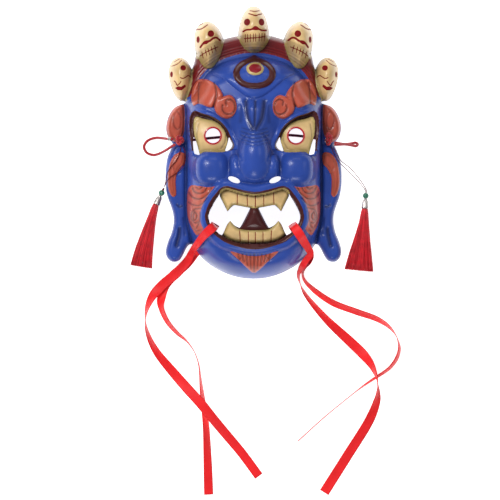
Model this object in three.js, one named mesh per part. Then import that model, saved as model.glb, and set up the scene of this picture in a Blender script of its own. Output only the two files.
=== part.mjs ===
// Moulded wrathful-deity mask with skull crown, ribbons and tassels, lying on its back rim, face up.
// Millimetres. Origin under the middle of the mask on the rim plane, +Y towards the crown, +Z out of the face.
import * as THREE from 'three';

// Moulding
const WALL = 2.3;
const EDGE = 3;
const RIM_FLAT = 1.9;
const SKIRT_RISE = 7;
const SKIRT_WIDTH = 5;
const FACET = 8.8;
const EDGE_PITCH = 6.4;
const CLEAR_SHARE = 0.56;
const SIDE_WALL = 22;
const CHIN_WALL = 14;
const FACE_HALF_WIDTH = 68;
const SIDE_FALL = 9;
const MOUTH_DROP = 7;
const PANEL_DROP = 4;
const CURVE_STEPS = 4;
const NEAR = 8;
const RIM_RELIEF = { x: 56, y: -110, reach: 9, height: 1.2 };

// Heights of the moulding's crown line, from the chin to the top of the forehead
const CROWN = [[-136, 30], [-120, 42], [-105, 50], [-90, 54], [-70, 57], [-40, 58], [0, 58],
  [30, 58], [45, 57], [60, 54], [75, 49], [89, 43]];

// Outline, right half from the top of the middle skull to the chin, a corner where two runs meet
const SILHOUETTE = [
  [[0, 136.3], [5.5, 134.5], [10.8, 127.5], [13.9, 118.5], [15.4, 111], [15.5, 106.6]],
  [[15.5, 106.6], [22.5, 105.2], [30, 103]],
  [[30, 103], [33, 110.5], [38, 117.3], [44, 120.7], [49, 120.8], [55, 117], [58.8, 110],
    [59.3, 102], [58.6, 94], [57.6, 88]],
  [[57.6, 88], [59.5, 80], [61.6, 73]],
  [[61.6, 73], [65.2, 79.5], [70.2, 84.2], [76, 84.9], [81.6, 81.3], [84.7, 73.5], [84.4, 63],
    [81.4, 52.5], [77.3, 44.8], [73.3, 41.5], [70.4, 41.6], [67.4, 40]],
  [[67.4, 40], [71, 38.2], [76, 36.7], [80.5, 33.5], [84.5, 27.5], [87, 20], [87.6, 13],
    [86, 6.3], [82.8, 1.7], [80.3, -2.2]],
  [[80.3, -2.2], [84, -9.5], [86.6, -17], [88, -28], [88.1, -42], [86.2, -54], [83, -63],
    [80.6, -71], [80, -80], [82, -90], [85.8, -99.5], [87.9, -108], [87, -114], [83.3, -118.6],
    [78.5, -119.6], [73.8, -117.6], [70.4, -112.5], [67.2, -106], [64.6, -102.6], [62, -101.6]],
  [[62, -101.6], [59.3, -105.5], [56, -110], [50, -117], [42, -123.4], [32, -129], [22, -133],
    [11, -135.6], [0, -136.3]],
];

// Outlines of the carved parts on the centre line: the right half, top to bottom
const FACE = [[0, 89], [10, 88.5], [20, 86.3], [32, 82.3], [40, 77.3], [48, 71.5], [54.5, 63],
  [60, 52], [64.6, 44], [67.3, 36], [68, 20], [67.6, 0], [67.4, -30], [67.6, -60], [66.3, -80],
  [63.6, -93], [60.5, -102.5], [56, -110], [50, -117], [42, -123.4], [32, -129], [22, -133],
  [11, -135.6], [0, -136.3]];
const PLATE = [[0, 106.6], [15.5, 106.6], [22.5, 105.2], [30, 103], [45, 97], [57.6, 88],
  [59.5, 80], [61.6, 73], [65, 60], [67.5, 50], [68.5, 39], [60, 20], [0, 20]];
const FOREHEAD = [[0, 112], [40, 112], [66, 92], [64, 76], [48, 71.5], [39, 67.2], [31, 63], [21.6, 55],
  [13.5, 48.6], [7, 44.6], [0, 43]];
const MIDDLE_SKULL = [[0, 136.3], [5.5, 134.5], [10.8, 127.5], [13.9, 118.5], [15.4, 111],
  [15.2, 104], [12.4, 97], [7.2, 91.3], [0, 89]];
const RING_OUTER = [[0, 86.8], [6.4, 83.8], [14.6, 79.4], [20.6, 71.6], [20.6, 63.6], [15.4, 56.8],
  [8, 53.2], [0, 52.3]];
const RING_INNER = [[0, 79.6], [7, 77.4], [13, 73], [14.7, 67.6], [12.2, 62.2], [6.8, 59.2], [0, 58.4]];
const MOUTH_RIM = [[0, -49.8], [11, -48.2], [20, -45.8], [28, -44], [34, -46.3], [39.4, -52.5],
  [45, -60.5], [48.5, -69.5], [49.2, -77], [45.8, -85], [38.3, -93.5], [29.5, -99.8], [18, -104],
  [8, -106.5], [0, -107]];
const MOUTH = [[0, -53.5], [11, -52], [20, -49.6], [28, -47.6], [33, -50], [37, -56], [41.2, -63],
  [44.6, -70], [45.5, -76], [43, -82.6], [37, -89.6], [28.6, -95.6], [18, -100.3], [8, -101.6],
  [0, -102]];
const UPPER_TEETH = [[0, -52], [11, -50.5], [20, -48], [28, -46], [33.8, -48.6], [34.6, -53.6],
  [32, -59], [29, -65], [26.6, -69.4], [23.4, -65.8], [20, -63.2], [9, -65], [0, -66]];
const TONGUE = [[0, -63], [4, -66], [7.4, -73], [11, -80], [14.8, -86.5], [11, -88.5], [0, -90]];
const LOWER_TEETH = [[0, -88], [10, -87.6], [17, -85.6], [24, -78.4], [27.4, -82.6], [29.6, -88],
  [31, -91], [29, -94.2], [23.6, -97.8], [14, -100], [0, -100.8]];
const GOATEE = [[0, -113.6], [11, -112.3], [22, -109], [23.2, -110.4], [14, -118.8], [7, -125.6],
  [1.6, -130], [0, -130]];

// Open gap at the side of the mouth, between the rim and the teeth and tongue
const MOUTH_GAP = [
  [[34.2, -51.2], [34.4, -54], [32, -59], [29, -65], [26.6, -69.4]],
  [[26.6, -69.4], [23.4, -65.8], [20, -63.2], [14, -64], [9, -65], [4.2, -65.8]],
  [[4.2, -65.8], [7.6, -73], [11.2, -80], [14.6, -85.6]],
  [[14.6, -85.6], [19.6, -83], [24, -78.4]],
  [[24, -78.4], [27.4, -82.6], [29.6, -88], [32.2, -93]],
  [[32.2, -93], [37, -89.6], [43, -82.6], [45.5, -76], [44.6, -70], [41.2, -63], [37, -56], [34.2, -51.2]],
];

// Outlines of the carved parts on the right side, mirrored to the left
const SIDE_SKULL = [[49, 120.8], [55, 117], [58.8, 110], [59.3, 102], [58.6, 94], [55.3, 83.5],
  [50.7, 75.8], [46, 73.2], [41, 74.6], [36, 81.5], [31.8, 91.5], [30.4, 101.5], [33, 110.5],
  [38, 117.3], [44, 120.7]];
const OUTER_SKULL = [[76, 84.9], [81.6, 81.3], [84.7, 73.5], [84.4, 63], [81.4, 52.5],
  [77.3, 44.8], [73.3, 41.4], [69.8, 41.4], [65.6, 46], [62.6, 55], [61.3, 65], [62.2, 74],
  [65.6, 80.3], [70.2, 84.2]];
const EAR = [[71, 38.6], [76, 36.9], [80.5, 33.5], [84.5, 27.5], [87, 20], [87.6, 13], [86, 6.3],
  [82.8, 1.7], [78, -1], [72, -1], [68.4, 4], [68, 20], [68.6, 36]];
const LOBE = [[80.3, -2.2], [84, -9.5], [86.6, -17], [88, -28], [88.1, -42], [86.2, -54],
  [83, -63], [80.6, -71], [80, -80], [82, -90], [85.8, -99.5], [87.9, -108], [87, -114],
  [83.3, -118.6], [78.5, -119.6], [73.8, -117.6], [70.4, -112.5], [67.2, -106], [64.6, -102.6],
  [62, -101.6], [62.5, -90], [66, -78], [66.6, -50], [66.6, -20], [67, -2], [74, 0]];
const EAR_SCROLL = [[71, 37], [75.5, 35.6], [79.5, 32.2], [83, 26.5], [85.4, 19.5], [86, 13],
  [84.6, 7], [81.5, 3], [77.5, 1.6], [73, 5], [70.6, 12], [70, 24]];
const LOBE_SCROLL = [[68.4, -12.5], [71.5, -10], [75.5, -10.5], [80, -13.6], [83.6, -20.5],
  [85.7, -32], [85.6, -43.5], [83.4, -51.5], [80, -54.6], [77.4, -51.5], [77.9, -42],
  [77.2, -33], [73.3, -26], [69.3, -21]];
const BROW = [[51, 63], [45.5, 61.6], [38.5, 57], [33.5, 51], [31.5, 45], [37, 40], [42.5, 34],
  [48.5, 35.2], [55, 38], [60.5, 36.3], [62.6, 43], [62, 50], [59.5, 57], [55.5, 62]];
const BROW_CURL = [[26, 46.5], [33, 44], [38.5, 42], [40.2, 36], [38.6, 29.5], [34, 25],
  [28.5, 22.8], [23.5, 24], [19.6, 28], [17.8, 34], [18.8, 40.5], [21.6, 44.8]];
const EYE_RIM = [[60, 30.8], [52, 28.2], [44, 25.8], [38, 22.8], [32, 18.3], [27.3, 12.6],
  [24, 6], [20.8, -1], [20.6, -6], [25, -9.6], [33, -11], [45, -11], [54, -12.5], [58, -14],
  [61.6, -13], [62.6, -4], [64, 6], [64.7, 16], [64, 25]];
const EYEBALL = [[57.5, 25], [50, 22.8], [41, 21], [34.6, 17.2], [30.4, 12], [27.6, 6], [26.2, 0],
  [27, -5], [29.6, -9.8], [40, -10.4], [50, -10], [54.6, -12.3], [56.2, -6], [57.8, 1], [59.4, 6],
  [60.3, 13], [60.2, 21]];
const INNER_GAP = [[25.2, 4.6], [23.4, 1], [21.8, -2.6], [23, -5.8], [25.8, -8.4], [28.9, -8.9],
  [27.6, -4.5], [26.3, 0]];
const OUTER_GAP = [[59.4, 4], [60.8, 3.6], [60.9, -3], [59.9, -10.8], [58, -12.4], [54.6, -12.7],
  [55.7, -7.5], [57.3, -1.5]];
const PUPIL = { x: 41.25, y: 6, radius: 7.3 };
const NOSTRIL = { x: 20.4, y: -37.9, long: 6.2, short: 2.7, turn: 22 };
const EAR_HOLE = { x: 73, y: 2, radius: 2.2 };

// Rounded swellings of the face: centre, half sizes, foot height, rise, blend and squareness
const NOSE_FOOT = 54;
const CHEEK_BALL = { x: 42, y: -27, rx: 16.8, ry: 17.8, foot: 47, rise: 15, blend: 3, square: 2.7 };
const NOSE_WING = { x: 18.6, y: -25, rx: 6.6, ry: 12, foot: NOSE_FOOT, rise: 10, blend: 3, square: 2.2 };
const NOSE_BASE = { x: 0, y: -30, rx: 25, ry: 11.5, foot: NOSE_FOOT, rise: 12, blend: 5, square: 2.3 };
const NOSE_BALL = { x: 0, y: -15, rx: 16, ry: 26, foot: NOSE_FOOT, rise: 19, blend: 11, square: 2.1 };

// Skull crown: outline, centre, half sizes of the egg, shoulder height and rise of the brow
const SKULLS = [
  { loop: MIDDLE_SKULL, x: 0, y: 112, rx: 15.5, ry: 24, shoulder: 42, rise: 9, middle: true },
  { loop: SIDE_SKULL, x: 45, y: 98, rx: 14.5, ry: 24, shoulder: 39, rise: 8, middle: false },
  { loop: OUTER_SKULL, x: 73, y: 63.5, rx: 11.5, ry: 22, shoulder: 27, rise: 7, middle: false },
];
const SKULL_WALL = 11;
const SKULL_STEP = 5;
const SKULL_MELT = 8;

// Elastic cord: behind the mask from ear hole to ear hole, and a loop at each ear
const CORD = 2.8;
const CORD_PITCH = 7;
const HEAD_CORD = [[-73, 2, 13], [-73, 2, 8.5], [-71, 2.1, 5.4], [-60, 2.6, 4.6], [-48, 3.9, 4.2], [-32, 5.4, 4],
  [0, 7.8, 4], [35, 7.4, 4], [50, 6.1, 4.2], [61, 4.4, 4.6], [71, 2.4, 5.4], [73, 2, 8.5], [73, 2, 13]];
const KNOTS = { left: { x: -74, y: 2, rx: 4.8, ry: 5.4, rz: 3.6 }, right: { x: 75, y: 3.4, rx: 4.2, ry: 7.2, rz: 3.6 } };
const LOOP_LEFT = [[-80.6, 3, 17.6], [-86, 3.4, 13.6], [-91, 4.2, 7.2], [-98, 4.6, 2.4], [-105.6, 2, 1.7], [-109.6, -4, 1.7],
  [-107, -10, 1.7], [-100, -12.5, 2.2], [-93, -10.6, 7], [-87, -7.4, 13.6], [-81, -3.6, 17.4], [-78.4, -2.4, 19]];
const LOOP_RIGHT = [[80.8, -0.4, 18.4], [86, -1.2, 14.6], [92, -1.6, 7.6], [98, -1, 3.2], [102.6, -0.2, 2],
  [104.4, -1.9, 2.6], [102.6, -3.6, 4.6], [98, -2.8, 8], [92, -2, 12.6], [86, -2.2, 19], [80.6, -2.4, 22]];
const CRIMP = { length: 3.6, radius: 2.1, bore: 1.7, along: 0.045 };

// Tassels: a doubled thread from the knot through a bead and a cap into a fringe
const THREAD = 0.8;
const THREAD_PITCH = 3.8;
const THREAD_SPREAD = 0.62;
const BEAD = { radius: 3.1, bore: 1.35 };
const CAP = { length: 9.6, top: 2.3, end: 3.9, wall: 0.7, shoulder: 0.9 };
const SOCKET = { radius: 1.35, depth: 9 };
const TASSELS = {
  left: {
    bead: [-92, -50.5, 3.4], towards: [-0.42, -0.9075, 0.06],
    near: [[-70.6, -4.6], [-68.8, -9], [-68.2, -16], [-70.6, -24.6], [-77.6, -31], [-84, -35.4], [-87.2, -40]],
    far: [[-72.8, -5], [-74.6, -12.5], [-78, -19], [-83.4, -25.4], [-86.8, -32.6], [-87.8, -38.6]],
    drop: [-89.6, -45, 7.6],
    fringe: [[-97.2, -61.7, 4.2, 2.6, 2.5], [-98.4, -64.6, 4.1, 3.4, 3.1], [-102, -77, 3.6, 4.6, 2.9],
      [-106.4, -94, 3.2, 7.2, 2.6], [-110, -110, 2.9, 9.6, 2.4], [-112.4, -124.6, 2.8, 11.3, 2.3]],
  },
  right: {
    bead: [112.3, -53.3, 3.4], towards: [-0.08, -0.9965, 0.06],
    near: [[79.6, -4], [82.2, -9.6], [85.2, -15.2], [87.6, -18.6]],
    far: [[77.6, -4.6], [79.8, -11], [83.8, -17], [86.8, -21.2]],
    drop: [98, -27, 7.6],
    fringe: [[111.5, -65.4, 4.2, 2.6, 2.5], [111.3, -68.6, 4.1, 3.5, 3.1], [110.4, -82, 3.6, 5.4, 2.9],
      [108.6, -98, 3.2, 8.8, 2.6], [107, -113, 2.9, 12.4, 2.4], [105.6, -128.4, 2.8, 15.3, 2.3]],
  },
};
const ROUND_SIDES = 8;
const BEAD_SIDES = 10;
const FRINGE_SIDES = 14;

// Ribbons: points x, y, z, lean and width; lean 0 lies flat and 90 stands on its edge
const RIBBON_THICK = 0.5;
const RIBBONS = {
  ribbon_left_front: [
    [-38.6, -82.6, 27, 0, 8], [-39, -83, 41, 0, 8], [-40.2, -84, 52.4, 0, 8.6],
    [-43, -86.4, 'over', 0, 9.4], [-46.4, -89.4, 'over', 0, 9], [-51.6, -94.8, 'over', 0, 8],
    [-56.4, -101.4, 'over', 0, 7], [-61.6, -109, 6, 0, 6.4], [-65, -117, 2.4, 0, 8.6],
    [-76, -129.6, 2.2, 0, 10], [-91.5, -143, 2.8, 0, 10], [-101.5, -154.6, 4.6, 40, 10],
    [-106.6, -167, 5.2, 70, 10], [-108, -178, 5.4, 90, 10], [-105.7, -191, 5.2, 112, 10],
    [-97.5, -208.4, 4, 135, 10], [-80.1, -230.2, 5, 158, 10], [-66, -246.4, 10.6, 175, 10],
    [-52.5, -261.4, 12.6, 180, 10], [-40, -277, 10, 180, 9.6], [-27.8, -291.6, 3.6, 180, 9.4],
    [-11.6, -311, 1, 180, 9.2], [5.4, -334, 0.6, 180, 9.2]],
  ribbon_left_back: [
    [-38.2, -81.6, 16, 0, 9], [-40, -84.6, 5, 0, 9], [-47, -95.6, 2.2, 0, 8], [-53.2, -105.4, 0.7, 0, 7],
    [-58.8, -113, 0.6, 0, 6.6], [-66.6, -121.6, 0.5, 0, 8.6], [-78.6, -131.6, 0.4, 0, 10],
    [-88.4, -143, 0.4, 0, 9.6], [-91.8, -154, 1.8, 16, 9], [-92.2, -165, 4.7, 58, 10],
    [-85.9, -179.3, 4.9, 63, 10], [-75.7, -191, 5.1, 70, 10], [-67, -198.4, 5.4, 82, 10],
    [-59.7, -208.4, 5.4, 90, 10], [-54.8, -221.5, 5.4, 94, 10], [-53.1, -234.6, 5.3, 100, 10],
    [-51.6, -249.1, 5, 112, 10], [-49.4, -265, 4.8, 120, 10], [-47.2, -286, 4.3, 130, 10],
    [-46.2, -308, 3.8, 140, 10], [-45.4, -330, 3.2, 150, 10], [-44.8, -352.4, 2.1, 160, 9.6]],
  ribbon_right_front: [
    [37.8, -82.2, 27, 0, 8], [38.2, -82.8, 41, 0, 8], [39.2, -84, 52.4, 0, 8.6],
    [41.8, -87.8, 'over', 0, 9.4], [45, -92.6, 'over', 0, 9.2], [48.8, -98.6, 'over', 0, 8.6],
    [53.4, -105.4, 'over', 0, 7.4], [56, -112.2, 'over', 0, 6.6], [51.6, -118.4, 'over', 0, 6.4],
    [47.4, -126, 5.4, 50, 8], [45, -133, 5.2, 75, 9], [46.6, -141, 5.4, 88, 10],
    [50.6, -149.6, 5.2, 108, 10], [56.9, -158.5, 4.8, 118, 10], [74, -177.9, 3.8, 138, 10],
    [97.2, -199.7, 1.8, 165, 10], [110, -212.4, 2.4, 195, 10], [118, -223, 6, 225, 9],
    [122.6, -234.4, 9.8, 255, 8], [124.2, -246.2, 7.2, 285, 9], [123.4, -258, 4.2, 315, 10],
    [116.4, -277, 2.2, 340, 10], [94.3, -313.1, 1, 352, 10], [70.8, -350.4, 0.5, 360, 10]],
  ribbon_right_back: [
    [38.2, -81.6, 16, 0, 9], [40, -84.6, 5, 0, 9], [47, -95.6, 2.2, 0, 8], [53.4, -105.4, 0.7, 0, 7],
    [57.2, -113.2, 0.6, 0, 6.6], [55, -120, 2.4, 35, 7], [51, -126, 4.2, 66, 8.6],
    [49.4, -131.8, 5.3, 82, 10], [51.6, -138.2, 5.3, 74, 10], [62.3, -148.8, 4.8, 60, 10],
    [79.8, -160.4, 4.3, 52, 10], [103, -169.2, 4.3, 52, 10], [123.4, -176.4, 4.7, 60, 10],
    [135, -183.7, 5.1, 72, 10], [141.6, -191.4, 5.4, 86, 10], [145, -199, 5.4, 98, 10],
    [146.2, -206.6, 5.2, 108, 10], [143.7, -215.7, 5, 114, 10], [137.2, -225, 4.7, 114, 9],
    [129, -231.4, 3.6, 116, 7], [122, -235.8, 2.7, 120, 5], [113.6, -241.4, 3.1, 108, 6],
    [103, -249.1, 4.7, 95, 9], [74, -272.4, 5.4, 90, 10], [44.3, -299.1, 5.4, 90, 10]],
};
const RIBBON_CLEAR = 1;
const THREAD_CLEAR = 1;
const RIBBON_FLOOR = 0.1;
const HEADING_SPAN = 0.03;
const RIBBON_STEP = 13;
const RIBBON_TURN = 24;

const COLOURS = {
  blue: 0x1f3fa0, cord: 0xb01228, thread: 0xa8142a, ribbon: 0xe23038, green: 0x1c7a4c,
  silver: 0xb8b8bc, fringe: 0xc01028,
};

function material(colour, roughness, metalness = 0) {
  return new THREE.MeshStandardMaterial({ color: colour, roughness, metalness });
}

function smoothRun(points, closed = false, steps = CURVE_STEPS) {
  const count = points.length;
  const spans = closed ? count : count - 1;
  const at = (i) => {
    if (closed) return points[(i + count) % count];
    if (i < 0) return points[0].map((v, k) => 2 * v - points[1][k]);
    if (i >= count) return points[count - 1].map((v, k) => 2 * v - points[count - 2][k]);
    return points[i];
  };
  const run = [];
  for (let i = 0; i < spans; i += 1) {
    const [a, b, c, d] = [at(i - 1), at(i), at(i + 1), at(i + 2)];
    for (let k = 0; k < steps; k += 1) {
      const t = k / steps;
      run.push(b.map((v, j) => 0.5 * (2 * v + (c[j] - a[j]) * t
        + (2 * a[j] - 5 * v + 4 * c[j] - d[j]) * t * t
        + (3 * v - a[j] - 3 * c[j] + d[j]) * t ** 3)));
    }
  }
  if (!closed) run.push(points[count - 1]);
  return run;
}

function mirrored(run) {
  return run.filter((p) => p[0] > 0).reverse().map(([x, y]) => [-x, y]);
}

function middleRun(half) {
  return smoothRun([...half, ...mirrored(half)], true);
}

function cornered(runs) {
  return runs.flatMap((run) => smoothRun(run).slice(0, -1));
}

function silhouetteRun() {
  const half = [...cornered(SILHOUETTE), SILHOUETTE.at(-1).at(-1)];
  return [...half, ...mirrored(half)];
}

function ellipseLoop(x, y, rx, ry, turn, count) {
  return Array.from({ length: count }, (_, i) => {
    const a = (2 * Math.PI * i) / count;
    const [u, v] = [rx * Math.cos(a), ry * Math.sin(a)];
    const t = THREE.MathUtils.degToRad(turn);
    return [x + u * Math.cos(t) - v * Math.sin(t), y + u * Math.sin(t) + v * Math.cos(t)];
  });
}

// Closed outline that knows how deep a point lies inside it
class Outline {
  constructor(run) {
    this.run = run;
    this.left = Math.min(...run.map((p) => p[0])) - NEAR;
    this.right = Math.max(...run.map((p) => p[0])) + NEAR;
    this.low = Math.min(...run.map((p) => p[1])) - NEAR;
    this.high = Math.max(...run.map((p) => p[1])) + NEAR;
  }

  // Distance to the outline, positive inside, no more than NEAR outside
  depth(x, y) {
    if (x < this.left || x > this.right || y < this.low || y > this.high) return -NEAR;
    const { run } = this;
    let best = Infinity;
    let inside = false;
    let a = run[run.length - 1];
    for (let i = 0; i < run.length; i += 1) {
      const b = run[i];
      const ex = b[0] - a[0];
      const ey = b[1] - a[1];
      const along = ((x - a[0]) * ex + (y - a[1]) * ey) / (ex * ex + ey * ey || 1);
      const t = along < 0 ? 0 : Math.min(along, 1);
      const dx = x - a[0] - t * ex;
      const dy = y - a[1] - t * ey;
      best = Math.min(best, dx * dx + dy * dy);
      if ((a[1] > y) !== (b[1] > y) && x < (ex * (y - a[1])) / ey + a[0]) inside = !inside;
      a = b;
    }
    return inside ? Math.sqrt(best) : -Math.min(Math.sqrt(best), NEAR);
  }
}

// Quarter-round rise from 0 at an edge to 1 at a width inside it
function quarterRound(depth, width) {
  if (depth <= 0) return 0;
  const t = 1 - Math.min(depth / width, 1);
  return Math.sqrt(1 - t * t);
}

function smoothStep(t) {
  const c = THREE.MathUtils.clamp(t, 0, 1);
  return c * c * (3 - 2 * c);
}

function crownAt(y) {
  const row = CROWN.findIndex((r) => r[0] > y);
  if (row === 0) return CROWN[0][1];
  if (row < 0) return CROWN.at(-1)[1];
  const [[y0, z0], [y1, z1]] = [CROWN[row - 1], CROWN[row]];
  return z0 + ((z1 - z0) * (y - y0)) / (y1 - y0);
}

function egg(part, ax, y) {
  return 1 - ((ax - part.x) / part.rx) ** 2 - ((y - part.y) / part.ry) ** 2;
}

const middle = (half) => new Outline(middleRun(half));
const lateral = (run) => new Outline(smoothRun(run, true));

const outlines = {
  silhouette: new Outline(silhouetteRun()),
  face: middle(FACE),
  plate: middle(PLATE),
  forehead: middle(FOREHEAD),
  ringOuter: middle(RING_OUTER),
  ringInner: middle(RING_INNER),
  mouthRim: middle(MOUTH_RIM),
  mouth: middle(MOUTH),
  teeth: [UPPER_TEETH, LOWER_TEETH].map(middle),
  tongue: middle(TONGUE),
  goatee: middle(GOATEE),
  brows: [BROW, BROW_CURL].map(lateral),
  eyeRim: lateral(EYE_RIM),
  eyeball: lateral(EYEBALL),
  ears: [EAR, LOBE].map(lateral),
  scrolls: [EAR_SCROLL, LOBE_SCROLL].map(lateral),
  skulls: SKULLS.map((skull) => (skull.middle ? middle(skull.loop) : lateral(skull.loop))),
};

function domeHeight(ax, y) {
  const crown = crownAt(y) - SIDE_FALL * (ax / FACE_HALF_WIDTH) ** 2;
  const wall = SIDE_WALL + (CHIN_WALL - SIDE_WALL) * smoothStep((-100 - y) / 24);
  return EDGE + (crown - EDGE) * quarterRound(outlines.face.depth(ax, y), wall);
}

function baseHeight(ax, y) {
  const skirt = EDGE + SKIRT_RISE * quarterRound(outlines.silhouette.depth(ax, y), SKIRT_WIDTH);
  const plate = y > 30 ? EDGE + 24 * quarterRound(outlines.plate.depth(ax, y), 7) : 0;
  return Math.max(skirt, plate, domeHeight(ax, y));
}

function browRelief(ax, y) {
  const slab = 3 * quarterRound(outlines.forehead.depth(ax, y), 6) * smoothStep(outlines.face.depth(ax, y) / 9);
  const bridge = 7 * Math.exp(-((ax / 11.5) ** 2)) * smoothStep((46 - y) / 14) * smoothStep((y + 30) / 20);
  const hollow = 9 * Math.exp(-(((ax - 24) / 9) ** 2) - ((y - 2) / 22) ** 2);
  const brow = Math.max(...outlines.brows.map((part) => part.depth(ax, y)));
  return slab + bridge - hollow + 3.6 * quarterRound(brow, 2.6);
}

function eyeHeight(ax, y, around) {
  const depth = outlines.eyeRim.depth(ax, y);
  let z = around;
  if (depth > 0) {
    const bulge = 7 * Math.max(0, 1 - ((ax - 42) / 22) ** 2 - ((y - 6) / 22) ** 2);
    const ball = 44 + bulge - (outlines.eyeball.depth(ax, y) > 0 ? 0 : 1.5);
    z = ball + (Math.max(z, ball) - ball) * smoothStep(1 - depth / 2.5);
  }
  return y > -8 ? z + 2.4 * Math.max(0, 1 - ((depth + 1) / 3.2) ** 2) : z;
}

function swell(z, part, ax, y) {
  const box = Math.abs((ax - part.x) / part.rx) ** part.square + Math.abs((y - part.y) / part.ry) ** part.square;
  const ball = part.foot + part.rise * Math.sqrt(Math.max(0, 1 - box)) - 25 * Math.max(0, box - 1);
  const share = Math.min(1, Math.max(0, 0.5 + (0.5 * (ball - z)) / part.blend));
  return z + (ball - z) * share + part.blend * share * (1 - share);
}

function mouthHeight(ax, y, around) {
  const inner = outlines.mouth.depth(ax, y);
  const rim = outlines.mouthRim.depth(ax, y);
  if (inner <= 0) {
    const lip = 3.5 * Math.max(0, 1 - ((rim + 2.5) / 5) ** 2);
    return around + lip + 1.5 * Math.max(0, 1 - ((rim - 1.8) / 2.2) ** 2);
  }
  const panel = crownAt(y) - SIDE_FALL * (ax / FACE_HALF_WIDTH) ** 2 - MOUTH_DROP - PANEL_DROP;
  const teeth = outlines.teeth.map((row) => 5 * quarterRound(row.depth(ax, y), 4));
  return panel + Math.max(...teeth, 8 * quarterRound(outlines.tongue.depth(ax, y), 10));
}

function thirdEyeRelief(ax, y) {
  const band = Math.min(outlines.ringOuter.depth(ax, y), -outlines.ringInner.depth(ax, y));
  const ball = 3.2 * Math.sqrt(Math.max(0, 1 - (ax / 9) ** 2 - ((y - 72) / 7) ** 2));
  return 2.6 * quarterRound(band, 3) + ball;
}

function earHeight(ax, y, around) {
  let z = around;
  outlines.ears.forEach((part) => {
    const depth = part.depth(ax, y);
    if (depth > 0) z = Math.max(z, EDGE + 10 * quarterRound(depth, 6));
  });
  return z + outlines.scrolls.reduce((sum, scroll) => sum + 2 * quarterRound(scroll.depth(ax, y), 3), 0);
}

function skullHeight(ax, y, around) {
  let z = around;
  SKULLS.forEach((skull, i) => {
    const depth = outlines.skulls[i].depth(ax, y);
    if (depth <= 0) return;
    const brow = skull.rise * Math.max(0, egg(skull, ax, y)) ** 0.8;
    const proud = z + SKULL_STEP * quarterRound(depth, 3);
    const dome = EDGE + skull.shoulder * quarterRound(depth, SKULL_WALL) + brow;
    const share = Math.min(1, Math.max(0, 0.5 + (0.5 * (dome - proud)) / SKULL_MELT));
    z = proud + (dome - proud) * share + SKULL_MELT * share * (1 - share) * quarterRound(depth, 3);
  });
  return z;
}

function frontHeight(x, y) {
  const ax = Math.abs(x);
  let z = baseHeight(ax, y) + browRelief(ax, y);
  z = eyeHeight(ax, y, z);
  [NOSE_WING, NOSE_BASE, NOSE_BALL, CHEEK_BALL].forEach((part) => { z = swell(z, part, ax, y); });
  z = mouthHeight(ax, y, z) + thirdEyeRelief(ax, y);
  z += 2 * quarterRound(outlines.goatee.depth(ax, y), 4);
  return skullHeight(ax, y, earHeight(ax, y, z));
}

// Inner surface: a ball of the wall's thickness rolled under the front
const BALL = [[0, 0, WALL]];
[0.55, 0.999].forEach((share) => {
  for (let k = 0; k < 12; k += 1) {
    const a = (Math.PI * k) / 6;
    BALL.push([WALL * share * Math.cos(a), WALL * share * Math.sin(a), WALL * Math.sqrt(1 - share * share)]);
  }
});

function outerHeight(x, y) {
  return outlines.silhouette.depth(x, y) > -0.01 ? frontHeight(x, y) : 0;
}

function rimRelief(x, y) {
  const away = Math.hypot(Math.abs(x) - RIM_RELIEF.x, y - RIM_RELIEF.y) / RIM_RELIEF.reach;
  return RIM_RELIEF.height * smoothStep(2 - 2 * away);
}

function backHeight(x, y) {
  const under = Math.min(...BALL.map(([dx, dy, drop]) => outerHeight(x + dx, y + dy) - drop));
  return Math.max(under, rimRelief(x, y));
}

function indexed(points, faces) {
  const geometry = new THREE.BufferGeometry();
  geometry.setAttribute('position', new THREE.Float32BufferAttribute(points.flat(), 3));
  geometry.setIndex(faces.flat());
  geometry.computeVertexNormals();
  return geometry;
}

// Even steps along a run, keeping its corners
function paced(run, pitch, closed = true) {
  const out = [];
  const spans = closed ? run.length : run.length - 1;
  let since = Infinity;
  for (let i = 0; i < spans; i += 1) {
    const [a, b] = [run[i], run[(i + 1) % run.length]];
    const before = run[(i - 1 + run.length) % run.length];
    const turn = Math.abs(Math.atan2((a[0] - before[0]) * (b[1] - a[1]) - (a[1] - before[1]) * (b[0] - a[0]),
      (a[0] - before[0]) * (b[0] - a[0]) + (a[1] - before[1]) * (b[1] - a[1])));
    if (since >= pitch * 0.8 || turn > 0.7) {
      out.push(a);
      since = 0;
    }
    since += Math.hypot(b[0] - a[0], b[1] - a[1]);
  }
  return out;
}

function inset(run, distance) {
  const spin = Math.sign(THREE.ShapeUtils.area(run.map(([x, y]) => new THREE.Vector2(x, y))));
  return run.map((p, i) => {
    const a = run[(i - 1 + run.length) % run.length];
    const b = run[(i + 1) % run.length];
    const size = Math.hypot(b[0] - a[0], b[1] - a[1]) || 1;
    return [p[0] - (spin * distance * (b[1] - a[1])) / size, p[1] + (spin * distance * (b[0] - a[0])) / size];
  });
}

function bothSides(run) {
  return [run, run.map(([x, y]) => [-x, y]).reverse()];
}

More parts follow.
